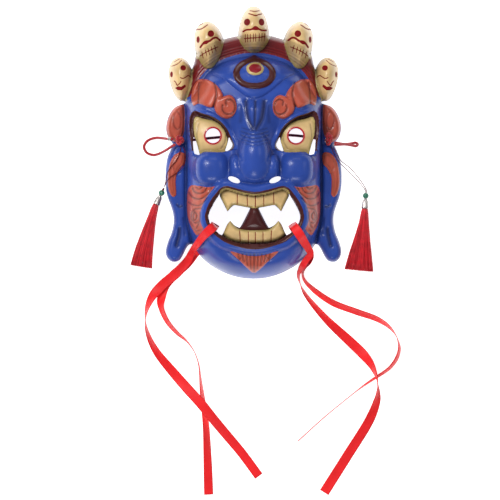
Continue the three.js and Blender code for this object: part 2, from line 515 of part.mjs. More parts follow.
// Delaunay triangles of points in the plane, added one by one
class Net {
  constructor() {
    this.points = [[-4000, -3000], [4000, -3000], [0, 5000]];
    this.faces = [this.face(0, 1, 2)];
  }

  face(a, b, c) {
    const [[ax, ay], [bx, by], [cx, cy]] = [this.points[a], this.points[b], this.points[c]];
    const d = 2 * (ax * (by - cy) + bx * (cy - ay) + cx * (ay - by));
    const [sa, sb, sc] = [ax * ax + ay * ay, bx * bx + by * by, cx * cx + cy * cy];
    const x = (sa * (by - cy) + sb * (cy - ay) + sc * (ay - by)) / d;
    const y = (sa * (cx - bx) + sb * (ax - cx) + sc * (bx - ax)) / d;
    return { corners: [a, b, c], x, y, reach: (ax - x) ** 2 + (ay - y) ** 2 };
  }

  insert(x, y) {
    const added = this.points.push([x, y]) - 1;
    const edges = new Map();
    const kept = [];
    this.faces.forEach((face) => {
      if ((x - face.x) ** 2 + (y - face.y) ** 2 >= face.reach) {
        kept.push(face);
        return;
      }
      face.corners.forEach((a, i) => {
        const b = face.corners[(i + 1) % 3];
        if (!edges.delete(`${b},${a}`)) edges.set(`${a},${b}`, [a, b]);
      });
    });
    this.faces = kept;
    edges.forEach(([a, b]) => this.faces.push(this.face(a, b, added)));
    return added;
  }

  nearest(x, y) {
    return Math.min(...this.points.map((p) => (p[0] - x) ** 2 + (p[1] - y) ** 2)) ** 0.5;
  }

  has(a, b) {
    return this.faces.some(({ corners }) => corners.includes(a) && corners.includes(b));
  }
}

// A wandering offset of a hair, so that no four points share a circle
function jitter(seed) {
  return ((Math.sin(seed * 12.9898) * 43758.5453) % 1) * 0.02;
}

function openingRuns() {
  const pupil = ellipseLoop(PUPIL.x, PUPIL.y, PUPIL.radius, PUPIL.radius, 0, 20);
  const nostril = ellipseLoop(NOSTRIL.x, NOSTRIL.y, NOSTRIL.long, NOSTRIL.short, NOSTRIL.turn, 12);
  const earHole = ellipseLoop(EAR_HOLE.x, EAR_HOLE.y, EAR_HOLE.radius, EAR_HOLE.radius, 0, 8);
  const gaps = [INNER_GAP, OUTER_GAP].map((run) => paced(smoothRun(run, true), 3));
  return [pupil, nostril, earHole, ...gaps, paced(cornered(MOUTH_GAP), 3.6)];
}

// Lines where the carving turns, that facets follow
function featureRuns() {
  const runs = [];
  const follow = (outline, insets, mirror, pitch = EDGE_PITCH) => {
    insets.forEach((distance) => {
      const run = paced(distance ? inset(outline.run, distance) : outline.run, pitch);
      runs.push(...(mirror ? bothSides(run) : [run]));
    });
  };
  const ellipse = ({ x, y, rx, ry }) => new Outline(ellipseLoop(x, y, rx, ry, 0, 40));
  follow(outlines.mouthRim, [0, 2], false);
  follow(outlines.mouth, [1.2, -1.2], false);
  outlines.teeth.forEach((row) => follow(row, [0, 2.5], false));
  follow(outlines.tongue, [0], false);
  follow(outlines.eyeRim, [0, 2.6], true, 4.4);
  follow(outlines.eyeball, [0], true, 4.4);
  outlines.brows.forEach((brow) => follow(brow, [0, 2.6], true));
  follow(outlines.ringOuter, [0, 3.4], false);
  follow(outlines.ringInner, [0], false);
  follow(ellipse(NOSE_BALL), [0, 2, 8], false);
  follow(ellipse(NOSE_WING), [0, 2], true);
  follow(ellipse(CHEEK_BALL), [0, 2, 7], true);
  outlines.skulls.forEach((skull, i) => follow(skull, [0, 2.4, 7], !SKULLS[i].middle));
  outlines.scrolls.forEach((scroll) => follow(scroll, [0, 2.4], true));
  outlines.ears.forEach((ear) => follow(ear, [0, 3], true));
  follow(outlines.face, [0, 2.5, 7], false);
  follow(outlines.forehead, [0, 3], false);
  follow(outlines.goatee, [0, 2.5], false);
  return runs;
}

// Conforming net of the whole mask seen from the front, open where the mask is
function maskNet() {
  const net = new Net();
  const edges = [];
  const border = [paced(silhouetteRun(), EDGE_PITCH), ...openingRuns().flatMap(bothSides)];
  const [rim, ...holes] = border.map((run) => {
    const ids = run.map(([x, y], i) => net.insert(x + jitter(i), y + jitter(i + 7)));
    ids.forEach((a, i) => edges.push([a, ids[(i + 1) % ids.length]]));
    return new Outline(ids.map((id) => net.points[id]));
  });
  const solid = (x, y) => rim.depth(x, y) > 0 && holes.every((hole) => hole.depth(x, y) < 0);
  const place = ([x, y], clear) => {
    const free = rim.depth(x, y) > clear * 0.6
      && holes.every((hole) => hole.depth(x, y) < -clear * 0.5);
    if (free && net.nearest(x, y) > clear) net.insert(x + jitter(x + y), y + jitter(x - y));
  };
  paced(inset(silhouetteRun(), RIM_FLAT), EDGE_PITCH).forEach((p) => place(p, RIM_FLAT * 0.9));
  featureRuns().forEach((run) => run.forEach((p) => place(p, EDGE_PITCH * 0.42)));
  for (let row = -22; row <= 22; row += 1) {
    for (let k = -14; k <= 14; k += 1) {
      place([(k + (row % 2 ? 0.5 : 0)) * FACET, row * FACET * 0.866], FACET * CLEAR_SHARE);
    }
  }
  for (let i = 0; i < edges.length; i += 1) {
    const [a, b] = edges[i];
    if (!net.has(a, b)) {
      const [p, q] = [net.points[a], net.points[b]];
      const m = net.insert((p[0] + q[0]) / 2, (p[1] + q[1]) / 2);
      edges.push([a, m], [m, b]);
    }
  }
  const keeps = ({ corners }) => {
    if (Math.min(...corners) < 3) return false;
    const [x, y] = [0, 1].map((k) => corners.reduce((sum, c) => sum + net.points[c][k], 0) / 3);
    return solid(x, y);
  };
  return { points: net.points, faces: net.faces.filter(keeps).map((face) => face.corners) };
}

const shellNet = maskNet();
const shellHeights = shellNet.points.map(([x, y]) => frontHeight(x, y));

// Height of the shell's own facets under a point
function facetHeight(x, y) {
  for (let f = 0; f < shellNet.faces.length; f += 1) {
    const [a, b, c] = shellNet.faces[f];
    const [[ax, ay], [bx, by], [cx, cy]] = [shellNet.points[a], shellNet.points[b], shellNet.points[c]];
    const area = (bx - ax) * (cy - ay) - (by - ay) * (cx - ax);
    const u = ((bx - x) * (cy - y) - (by - y) * (cx - x)) / area;
    const v = ((cx - x) * (ay - y) - (cy - y) * (ax - x)) / area;
    if (u >= 0 && v >= 0 && u + v <= 1) {
      return u * shellHeights[a] + v * shellHeights[b] + (1 - u - v) * shellHeights[c];
    }
  }
  return 0;
}

// Highest facet within a reach of a point
function topWithin(x, y, reach) {
  const spots = Array.from({ length: 8 }, (_, k) => (Math.PI * k) / 4);
  return Math.max(facetHeight(x, y), ...spots.map((a) => facetHeight(x + reach * Math.cos(a), y + reach * Math.sin(a))));
}

// Front and back over one net, joined round every border
function maskShell() {
  const { points, faces } = shellNet;
  const used = [...new Set(faces.flat())].sort((a, b) => a - b);
  const front = new Map(used.map((id, i) => [id, i]));
  const vertices = used.map((id) => [...points[id], shellHeights[id]]);
  used.forEach((id, i) => {
    const [x, y] = points[id];
    vertices.push([x, y, Math.min(backHeight(x, y), vertices[i][2] - WALL * 0.8)]);
  });
  const behind = (i) => i + used.length;
  const sides = new Map();
  const out = [];
  faces.forEach((corners) => {
    const [a, b, c] = corners.map((id) => front.get(id));
    out.push([a, b, c], [behind(a), behind(c), behind(b)]);
    [[a, b], [b, c], [c, a]].forEach(([p, q]) => {
      if (!sides.delete(`${q},${p}`)) sides.set(`${p},${q}`, [p, q]);
    });
  });
  sides.forEach(([a, b]) => out.push([a, behind(a), b], [b, behind(a), behind(b)]));
  return indexed(vertices, out);
}

function curveOf(points) {
  return new THREE.CatmullRomCurve3(points.map((p) => new THREE.Vector3(...p)), false, 'centripetal');
}

function roundTube(points, diameter, pitch) {
  const curve = curveOf(points);
  const shape = new THREE.Shape(ellipseLoop(0, 0, diameter / 2, diameter / 2, 0, ROUND_SIDES)
    .map(([x, y]) => new THREE.Vector2(x, y)));
  const steps = Math.round(curve.getLength() / pitch);
  return new THREE.ExtrudeGeometry(shape, { steps, extrudePath: curve, bevelEnabled: false });
}

// Closed body through rings of equal count, capped by fans at both ends; the sides named in crossed
// are split along their other diagonal
function throughRings(rings, crossed = []) {
  const count = rings[0].length;
  const points = rings.flat();
  const faces = [];
  for (let i = 0; i + 1 < rings.length; i += 1) {
    for (let k = 0; k < count; k += 1) {
      const [a, b] = [i * count + k, i * count + ((k + 1) % count)];
      if (crossed.includes(k)) faces.push([a, b, a + count], [b, b + count, a + count]);
      else faces.push([a, b, b + count], [a, b + count, a + count]);
    }
  }
  const last = (rings.length - 1) * count;
  for (let k = 1; k + 1 < count; k += 1) faces.push([0, k + 1, k], [last, last + k, last + k + 1]);
  return indexed(points, faces);
}

// A ribbon's point, its last value telling whether it lies over the mask
function levelled([x, y, z, lean, width]) {
  const over = z === 'over';
  return [x, y, over ? topWithin(x, y, 2.5) + RIBBON_CLEAR : z, lean, width, over ? 1 : 0];
}

// Flat band along a ribbon's points
function flatBand(listed) {
  const points = listed.map(levelled);
  const curve = curveOf(points);
  const mixAt = (t, slot) => {
    const u = curve.getUtoTmapping(t) * (points.length - 1);
    const k = Math.min(Math.floor(u), points.length - 2);
    return points[k][slot] + (points[k + 1][slot] - points[k][slot]) * (u - k);
  };
  const fine = 400;
  const stations = [0];
  let due = 0;
  for (let i = 1; i <= fine; i += 1) {
    due += (curve.getLength() / fine / RIBBON_STEP) * (1 + 2 * mixAt(i / fine, 5)) + Math.abs(mixAt(i / fine, 3) - mixAt((i - 1) / fine, 3)) / RIBBON_TURN;
    if (due >= 1 || i === fine) {
      stations.push(i / fine);
      due = 0;
    }
  }
  const rings = stations.map((t) => {
    const mix = (slot) => mixAt(t, slot);
    const along = curve.getTangentAt(t);
    const heading = curve.getPointAt(Math.min(t + HEADING_SPAN, 1)).sub(curve.getPointAt(Math.max(t - HEADING_SPAN, 0)));
    const across = new THREE.Vector3(-heading.y, heading.x, 0).normalize()
      .applyAxisAngle(along, THREE.MathUtils.degToRad(mix(3)));
    const out = new THREE.Vector3().crossVectors(along, across).normalize();
    const [w, h] = [mix(4) / 2, RIBBON_THICK / 2];
    const ring = [[-w, -h], [w, -h], [w, h], [-w, h]].map(([a, b]) => curve.getPointAt(t)
      .addScaledVector(across, a).addScaledVector(out, b).toArray());
    const room = mix(5) > 0.2 ? [-1, -0.5, 0, 0.5, 1].map((a) => {
      const spot = curve.getPointAt(t).addScaledVector(across, a * w);
      return topWithin(spot.x, spot.y, 2) + RIBBON_CLEAR - spot.z;
    }) : [0];
    const lift = Math.max(...room, RIBBON_FLOOR - Math.min(...ring.map((p) => p[2])));
    return ring.map(([x, y, z]) => [x, y, z + lift]);
  });
  return throughRings(rings, [2]);
}

// Turned body along an axis: profile of radius and distance, closed on itself
function turned(profile, start, towards) {
  const run = [...profile, profile[0]].map(([r, d]) => new THREE.Vector2(r, d));
  const spin = new THREE.Quaternion().setFromUnitVectors(new THREE.Vector3(0, 1, 0),
    new THREE.Vector3(...towards).normalize());
  return new THREE.LatheGeometry(run, BEAD_SIDES).applyQuaternion(spin).translate(...start);
}

function stepped(start, towards, distance) {
  const way = new THREE.Vector3(...towards).normalize();
  return new THREE.Vector3(...start).addScaledVector(way, distance).toArray();
}

function bead({ bead: centre, towards }) {
  const rows = 4;
  const reach = Math.sqrt(BEAD.radius ** 2 - BEAD.bore ** 2);
  const profile = Array.from({ length: rows + 1 }, (_, i) => {
    const d = reach * ((2 * i) / rows - 1);
    return [Math.max(Math.sqrt(BEAD.radius ** 2 - d * d), BEAD.bore), d];
  });
  profile[0][0] = BEAD.bore + 0.4;
  profile[rows][0] = BEAD.bore + 0.4;
  return turned([[BEAD.bore, -reach], ...profile, [BEAD.bore, reach]], centre, towards);
}

function capStart({ bead: centre, towards }) {
  return stepped(centre, towards, BEAD.radius + 0.3);
}

function cap(tassel) {
  const { length, top, end, wall, shoulder } = CAP;
  return turned([[BEAD.bore, 0], [top - 0.5, 0], [top, shoulder], [(top + end) / 2, length * 0.45], [end, length - 1],
    [end, length], [end - wall, length], [end - wall, length - 1], [(top + end) / 2 - wall, length * 0.45],
    [top - wall + 0.2, shoulder + wall], [BEAD.bore, wall]], capStart(tassel), tassel.towards);
}

function fringe({ fringe: sections }) {
  const rings = [];
  const ring = ([x, y, z], rx, ry, across, up) => Array.from({ length: FRINGE_SIDES }, (_, k) => {
    const a = (2 * Math.PI * k) / FRINGE_SIDES;
    return new THREE.Vector3(x, y, z).addScaledVector(across, rx * Math.cos(a)).addScaledVector(up, ry * Math.sin(a)).toArray();
  });
  const curve = curveOf(sections.map(([x, y, z]) => [x, y, z]));
  const frame = (t) => {
    const way = curve.getTangentAt(t);
    const across = new THREE.Vector3(-way.y, way.x, 0).normalize();
    return [across, new THREE.Vector3().crossVectors(way, across)];
  };
  const share = SOCKET.depth / curve.getLength();
  [share, 0].forEach((t) => rings.push(ring(curve.getPointAt(t).toArray(), SOCKET.radius, SOCKET.radius, ...frame(t))));
  sections.forEach((row, i) => rings.push(ring(row, row[3], row[4], ...frame(i / (sections.length - 1)))));
  return throughRings(rings);
}

// The thread's way: down one strand, through bead and cap, round in the fringe's head, and back
function threadWay({ bead: centre, towards, near, far, drop, fringe: sections }) {
  const over = ([x, y]) => [x, y, topWithin(x, y, 2) + THREAD_CLEAR];
  const side = new THREE.Vector3(-towards[1], towards[0], 0).normalize().multiplyScalar(THREAD_SPREAD);
  const strand = (sign) => [-(BEAD.radius + 1.6), 0, BEAD.radius + 2, BEAD.radius + CAP.length - 0.6].map((d) => {
    const [x, y, z] = stepped(centre, towards, d);
    return [x + sign * side.x, y + sign * side.y, z];
  });
  const turn = curveOf(sections.map(([x, y, z]) => [x, y, z])).getPointAt(0.11).toArray();
  const [nearStrand, farStrand] = [strand(1), strand(-1)];
  const [x, y, z] = drop;
  const down = [...near.map(over), [x, y, z], ...nearStrand];
  return [...down, turn, ...farStrand.reverse(), [x - 1.2, y - 3.6, z - 1], ...far.map(over).reverse()];
}

function knot({ x, y, rx, ry, rz }) {
  return new THREE.SphereGeometry(1, 10, 7).scale(rx, ry, rz).translate(x, y, topWithin(x, y, rx * 0.7) + rz + 0.3);
}

function crimp(loop) {
  const curve = curveOf(loop);
  const middle = CRIMP.length / 2;
  return turned([[CRIMP.bore, -middle], [CRIMP.radius, -middle], [CRIMP.radius, middle], [CRIMP.bore, middle]],
    curve.getPointAt(CRIMP.along).toArray(), curve.getTangentAt(CRIMP.along).toArray());
}

const model = new THREE.Group();

function add(name, geometry, look) {
  const mesh = new THREE.Mesh(geometry, look);
  mesh.name = name;
  model.add(mesh);
}

const looks = {
  plastic: material(COLOURS.blue, 0.25),
  cord: material(COLOURS.cord, 0.8),
  thread: material(COLOURS.thread, 0.7),
  ribbon: material(COLOURS.ribbon, 0.4),
  green: material(COLOURS.green, 0.3),
  silver: material(COLOURS.silver, 0.3, 1),
  fringe: material(COLOURS.fringe, 0.6),
};

add('mask_shell', maskShell(), looks.plastic);
add('head_cord', roundTube(HEAD_CORD, CORD, CORD_PITCH), looks.cord);
add('ear_loop_left', roundTube(LOOP_LEFT, CORD, CORD_PITCH * 0.7), looks.cord);
add('ear_loop_right', roundTube(LOOP_RIGHT, CORD, CORD_PITCH * 0.7), looks.cord);
add('cord_crimp_left', crimp(LOOP_LEFT), looks.silver);
['left', 'right'].forEach((side) => {
  const tassel = TASSELS[side];
  add(`ear_knot_${side}`, knot(KNOTS[side]), looks.cord);
  add(`tassel_thread_${side}`, roundTube(threadWay(tassel), THREAD, THREAD_PITCH), looks.thread);
  add(`tassel_bead_${side}`, bead(tassel), looks.green);
  add(`tassel_cap_${side}`, cap(tassel), looks.silver);
  add(`tassel_fringe_${side}`, fringe(tassel), looks.fringe);
});
Object.entries(RIBBONS).forEach(([name, points]) => add(name, flatBand(points), looks.ribbon));

export default model;
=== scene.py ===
"""Moulded wrathful-deity mask with a skull crown, ribbons and tassels, lying face up."""
import math

import bpy
import numpy as np
from bpy.props import FloatProperty, FloatVectorProperty, IntProperty, PointerProperty
from mathutils import Matrix, Vector
from mathutils.geometry import delaunay_2d_cdt
from mathutils.kdtree import KDTree


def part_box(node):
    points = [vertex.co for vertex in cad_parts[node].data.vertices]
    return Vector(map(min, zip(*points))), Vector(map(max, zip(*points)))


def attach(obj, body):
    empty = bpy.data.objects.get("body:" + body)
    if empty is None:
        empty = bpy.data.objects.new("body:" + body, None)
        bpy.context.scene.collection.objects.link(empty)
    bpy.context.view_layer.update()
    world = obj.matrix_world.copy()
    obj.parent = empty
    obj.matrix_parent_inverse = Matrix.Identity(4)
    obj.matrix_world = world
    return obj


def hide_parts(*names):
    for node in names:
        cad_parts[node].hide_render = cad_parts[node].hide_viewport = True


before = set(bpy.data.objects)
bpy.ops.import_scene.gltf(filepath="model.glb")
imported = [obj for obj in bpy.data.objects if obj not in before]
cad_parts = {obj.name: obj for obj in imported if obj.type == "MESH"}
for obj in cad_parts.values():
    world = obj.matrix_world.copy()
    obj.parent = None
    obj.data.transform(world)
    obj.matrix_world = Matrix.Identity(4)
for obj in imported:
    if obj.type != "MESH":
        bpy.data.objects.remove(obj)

bl_info = {
    "name": "Moulded Deity Mask",
    "version": (1, 0, 0),
    "blender": (4, 5, 0),
    "location": "3D View > Sidebar > Mask",
    "description": "Builds a painted plastic mask with cords, tassels and ribbons",
    "category": "Add Mesh",
}

MM = 0.001
NEAR = 8.0

# Nets and raster over the mask, in millimetres; the pitches are shares of the fine net's pitch
NET_REACH = (90, 138)
RASTER_REACH = (92, 140)
OVER_REACH = 2.6
CREASE_REACH = 4
CREASE_DEPTH = 3.0
BACK_PITCH = 2.6
HOLE_PITCH = 0.85
ROW_PITCH = 0.866
RIM_CLEARANCE = 0.45
LINE_CLEARANCE = 0.55
LINE_TO_RIM = 0.12
LINE_INSETS = (0, 0.4)
RIM_INSETS = (0.18, 0.5, 1.0)

# Outline and moulding, in millimetres, with the origin under the middle of the mask
EDGE = 3.0
WALL = 2.3
SIDE_WALL = 22.0
CHIN_WALL = 14.0
CHIN_TOP = -100.0
CHIN_BLEND = 24.0
PLATE_LOW = 30.0
FOREHEAD_BLEND = 9.0
FACE_HALF_WIDTH = 68.0
SIDE_FALL = 9.0
PANEL_FALL = 11.0
SKULL_WALL = 11.0
SKULL_STEP = 5.0
SKULL_MELT = 8.0
SKULL_EDGE = 3.0
SKULL_POWER = 0.8
RIM_RELIEF = {"x": 56.0, "y": -110.0, "reach": 9.0, "height": 1.2}
CROWN = [(-136, 30), (-120, 42), (-105, 50), (-90, 54), (-70, 57), (-40, 58), (0, 58), (30, 58),
         (45, 57), (60, 54), (75, 49), (89, 43)]
MIDDLE_TOP = [(0, 136.3), (5.5, 134.5), (10.8, 127.5), (13.9, 118.5), (15.4, 111)]
SIDE_RISE = [(33, 110.5), (38, 117.3), (44, 120.7)]
SIDE_DROP = [(49, 120.8), (55, 117), (58.8, 110), (59.3, 102), (58.6, 94)]
OUTER_DROP = [(76, 84.9), (81.6, 81.3), (84.7, 73.5), (84.4, 63), (81.4, 52.5), (77.3, 44.8)]
EAR_SIDE = [(80.5, 33.5), (84.5, 27.5), (87, 20), (87.6, 13), (86, 6.3), (82.8, 1.7)]
LOBE_SIDE = [(80.3, -2.2), (84, -9.5), (86.6, -17), (88, -28), (88.1, -42), (86.2, -54), (83, -63),
             (80.6, -71), (80, -80), (82, -90), (85.8, -99.5), (87.9, -108), (87, -114), (83.3, -118.6),
             (78.5, -119.6), (73.8, -117.6), (70.4, -112.5), (67.2, -106), (64.6, -102.6), (62, -101.6)]
CHIN = [(56, -110), (50, -117), (42, -123.4), (32, -129), (22, -133), (11, -135.6), (0, -136.3)]
SILHOUETTE = [
    [*MIDDLE_TOP, (15.5, 106.6)],
    [(15.5, 106.6), (22.5, 105.2), (30, 103)],
    [(30, 103), *SIDE_RISE, *SIDE_DROP, (57.6, 88)],
    [(57.6, 88), (59.5, 80), (61.6, 73)],
    [(61.6, 73), (65.2, 79.5), (70.2, 84.2), *OUTER_DROP, (73.3, 41.5), (70.4, 41.6), (67.4, 40)],
    [(67.4, 40), (71, 38.2), (76, 36.7), *EAR_SIDE, (80.3, -2.2)],
    LOBE_SIDE,
    [(62, -101.6), (59.3, -105.5), *CHIN],
]

# Carved parts on the centre line: right half, top to bottom
MOUTH_SIDE = [(37, -56), (41.2, -63), (44.6, -70), (45.5, -76), (43, -82.6), (37, -89.6)]
HALVES = {
    "face": [(0, 89), (10, 88.5), (20, 86.3), (32, 82.3), (40, 77.3), (48, 71.5), (54.5, 63), (60, 52),
             (64.6, 44), (67.3, 36), (68, 20), (67.6, 0), (67.4, -30), (67.6, -60), (66.3, -80),
             (63.6, -93), (60.5, -102.5), *CHIN],
    "plate": [(0, 106.6), (15.5, 106.6), (22.5, 105.2), (30, 103), (45, 97), (57.6, 88), (59.5, 80),
              (61.6, 73), (65, 60), (67.5, 50), (68.5, 39), (60, 20), (0, 20)],
    "forehead": [(0, 112), (40, 112), (66, 92), (64, 76), (48, 71.5), (39, 67.2), (31, 63), (21.6, 55),
                 (13.5, 48.6), (7, 44.6), (0, 43)],
    "middle_skull": [*MIDDLE_TOP, (15.2, 104), (12.4, 97), (7.2, 91.3), (0, 89)],
    "ring_outer": [(0, 86.8), (6.4, 83.8), (14.6, 79.4), (20.6, 71.6), (20.6, 63.6), (15.4, 56.8),
                   (8, 53.2), (0, 52.3)],
    "ring_inner": [(0, 79.6), (7, 77.4), (13, 73), (14.7, 67.6), (12.2, 62.2), (6.8, 59.2), (0, 58.4)],
    "mouth_rim": [(0, -49.8), (11, -48.2), (20, -45.8), (28, -44), (34, -46.3), (39.4, -52.5),
                  (45, -60.5), (48.5, -69.5), (49.2, -77), (45.8, -85), (38.3, -93.5), (29.5, -99.8),
                  (18, -104), (8, -106.5), (0, -107)],
    "mouth": [(0, -53.5), (11, -52), (20, -49.6), (28, -47.6), (33, -50), *MOUTH_SIDE, (28.6, -95.6),
              (18, -100.3), (8, -101.6), (0, -102)],
    "upper_teeth": [(0, -52), (11, -50.5), (20, -48), (28, -46), (33.8, -48.6), (34.6, -53.6),
                    (32, -59), (29, -65), (26.6, -69.4), (23.4, -65.8), (20, -63.2), (9, -65), (0, -66)],
    "tongue": [(0, -63), (4, -66), (7.4, -73), (11, -80), (14.8, -86.5), (11, -88.5), (0, -90)],
    "lower_teeth": [(0, -88), (10, -87.6), (17, -85.6), (24, -78.4), (27.4, -82.6), (29.6, -88),
                    (31, -91), (29, -94.2), (23.6, -97.8), (14, -100), (0, -100.8)],
    "goatee": [(0, -113.6), (11, -112.3), (22, -109), (23.2, -110.4), (14, -118.8), (7, -125.6),
               (1.6, -130), (0, -130)],
}

# Carved parts of the right side, mirrored to the left
SIDES = {
    "side_skull": [*SIDE_DROP, (55.3, 83.5), (50.7, 75.8), (46, 73.2), (41, 74.6), (36, 81.5),
                   (31.8, 91.5), (30.4, 101.5), *SIDE_RISE],
    "outer_skull": [*OUTER_DROP, (73.3, 41.4), (69.8, 41.4), (65.6, 46), (62.6, 55), (61.3, 65),
                    (62.2, 74), (65.6, 80.3), (70.2, 84.2)],
    "ear": [(71, 38.6), (76, 36.9), *EAR_SIDE, (78, -1), (72, -1), (68.4, 4), (68, 20), (68.6, 36)],
    "lobe": [*LOBE_SIDE, (62.5, -90), (66, -78), (66.6, -50), (66.6, -20), (67, -2), (74, 0)],
    "ear_scroll": [(71, 37), (75.5, 35.6), (79.5, 32.2), (83, 26.5), (85.4, 19.5), (86, 13), (84.6, 7),
                   (81.5, 3), (77.5, 1.6), (73, 5), (70.6, 12), (70, 24)],
    "lobe_scroll": [(68.4, -12.5), (71.5, -10), (75.5, -10.5), (80, -13.6), (83.6, -20.5), (85.7, -32),
                    (85.6, -43.5), (83.4, -51.5), (80, -54.6), (77.4, -51.5), (77.9, -42), (77.2, -33),
                    (73.3, -26), (69.3, -21)],
    "brow": [(51, 63), (45.5, 61.6), (38.5, 57), (33.5, 51), (31.5, 45), (37, 40), (42.5, 34),
             (48.5, 35.2), (55, 38), (60.5, 36.3), (62.6, 43), (62, 50), (59.5, 57), (55.5, 62)],
    "brow_curl": [(26, 46.5), (33, 44), (38.5, 42), (40.2, 36), (38.6, 29.5), (34, 25), (28.5, 22.8),
                  (23.5, 24), (19.6, 28), (17.8, 34), (18.8, 40.5), (21.6, 44.8)],
    "eye_rim": [(60, 30.8), (52, 28.2), (44, 25.8), (38, 22.8), (32, 18.3), (27.3, 12.6), (24, 6),
                (20.8, -1), (20.6, -6), (25, -9.6), (33, -11), (45, -11), (54, -12.5), (58, -14),
                (61.6, -13), (62.6, -4), (64, 6), (64.7, 16), (64, 25)],
    "eyeball": [(57.5, 25), (50, 22.8), (41, 21), (34.6, 17.2), (30.4, 12), (27.6, 6), (26.2, 0),
                (27, -5), (29.6, -9.8), (40, -10.4), (50, -10), (54.6, -12.3), (56.2, -6), (57.8, 1),
                (59.4, 6), (60.3, 13), (60.2, 21)],
    "cheek": [(62, -43), (56, -43.8), (45, -45.2), (35, -43.8), (41, -50), (46, -58), (50.5, -68),
              (52.2, -78), (50.6, -86), (56.6, -93), (60.8, -88), (64.8, -79), (66.6, -68), (66.6, -54),
              (65.2, -46)],
}
INNER_GAP = [(25.2, 4.6), (23.4, 1), (21.8, -2.6), (23, -5.8), (25.8, -8.4), (28.9, -8.9), (27.6, -4.5),
             (26.3, 0)]
OUTER_GAP = [(59.4, 4), (60.8, 3.6), (60.9, -3), (59.9, -10.8), (58, -12.4), (54.6, -12.7),
             (55.7, -7.5), (57.3, -1.5)]
MOUTH_GAP = [
    [(34.2, -51.2), (34.4, -54), (32, -59), (29, -65), (26.6, -69.4)],
    [(26.6, -69.4), (23.4, -65.8), (20, -63.2), (14, -64), (9, -65), (4.2, -65.8)],
    [(4.2, -65.8), (7.6, -73), (11.2, -80), (14.6, -85.6)],
    [(14.6, -85.6), (19.6, -83), (24, -78.4)],
    [(24, -78.4), (27.4, -82.6), (29.6, -88), (32.2, -93)],
    [(32.2, -93), *MOUTH_SIDE[::-1], (34.2, -51.2)],
]
PUPIL = (41.25, 6.0, 7.3)
NOSTRIL = (20.4, -37.9, 6.2, 2.7, 22.0)
EAR_HOLE = (73.0, 2.0, 2.2)

# Raised parts: rise and width of the rounded edge
RAISED = {"skirt": (7.0, 5.0), "plate": (24.0, 7.0), "forehead": (3.0, 6.0), "brow": (3.6, 2.6),
          "teeth": (5.0, 4.0), "tongue": (8.0, 10.0), "ring": (2.6, 3.0), "goatee": (2.0, 4.0),
          "ear": (10.0, 6.0), "scroll": (2.0, 3.0)}

# Beads along an outline: height, place and half width
LID = (2.4, -1.0, 3.2)
LID_LOW = -8.0
LIPS = [(3.5, -2.5, 5.0), (1.5, 1.8, 2.2)]

# Soft forms: centre, half sizes and height
SOCKET = (24.0, 2.0, 9.0, 22.0, 9.0)
EYE_BULGE = (42.0, 6.0, 22.0, 22.0, 7.0)
EYE_FLOOR = 44.0
EYE_STEP = 1.5
EYE_WALL = 2.5
THIRD_EYE = (0.0, 72.0, 9.0, 7.0, 3.2)
NOSE_RIDGE = {"half": 11.5, "height": 7.0, "top": 46.0, "top_blend": 14.0, "low": -30.0, "low_blend": 20.0}

# Swellings: centre, half sizes, foot height, rise, how far they melt into the face and squareness
CHEEK_BALL = (42.0, -27.0, 16.8, 17.8, 47.0, 15.0, 3.0, 2.7)
NOSE_WING = (18.6, -25.0, 6.6, 12.0, 54.0, 10.0, 3.0, 2.2)
NOSE_BASE = (0.0, -30.0, 25.0, 11.5, 54.0, 12.0, 5.0, 2.3)
NOSE_BALL = (0.0, -15.0, 16.0, 26.0, 54.0, 19.0, 11.0, 2.1)
SWELLING_FALL = 25.0

# Skulls: outline, centre, half sizes of the egg, shoulder and rise of the brow
SKULLS = [
    ("middle_skull", 0.0, 112.0, 15.5, 24.0, 42.0, 9.0),
    ("side_skull", 45.0, 98.0, 14.5, 24.0, 39.0, 8.0),
    ("outer_skull", 73.0, 63.5, 11.5, 22.0, 27.0, 7.0),
]

# Sunk eyes of the skulls: centre and half sizes
SKULL_EYES = [(7.2, 119.0, 3.0, 3.6), (43.2, 107.5, 3.3, 3.4), (55.8, 102.0, 1.6, 3.4),
              (70.6, 73.8, 2.9, 2.8), (82.2, 67.6, 1.4, 3.0)]
IRIS = (0.6, 72.6, 8.8, 6.7)
IRIS_SCALE = 3.4
IRIS_MIDDLE = (0.8, 72.9, 6.4, 4.6)
IRIS_MIDDLE_SCALE = 2.4

# Cut grooves: points, half width and depth; the ones on the side are mirrored
MIDDLE_GROOVES = [
    ([(0.8, 40), (0.6, 32), (0.2, 22), (-0.2, 14.6)], 1.3, 1.5),
    ([(-8.6, 40), (-8.2, 31), (-6, 21.4), (-1.8, 12.6)], 2.3, 1.5),
    ([(9.8, 40), (9, 31), (6.8, 21.4), (1.6, 12.6)], 2.3, 1.5),
    ([(-14.2, 35), (-13.6, 27), (-14, 20)], 2.0, 0.6),
    ([(15.2, 35), (14.6, 27), (15, 20)], 2.0, 0.6),
    ([(-12.5, 13.6), (-5, 11.2), (4, 11), (12.5, 13.2)], 0.9, 0.7),
    ([(-13.4, 10), (-5, 7.4), (4, 7.2), (13.4, 9.8)], 0.9, 0.8),
    ([(-13.6, 6.6), (-5, 3.6), (4, 3.4), (13.6, 6.2)], 0.9, 0.8),
    ([(-13.6, 2.8), (-5, 0), (4, -0.2), (13.6, 2.4)], 0.9, 0.7),
    ([(-12.6, -0.6), (-5, -3.2), (4, -3.4), (12.6, -1)], 0.9, 0.5),
]
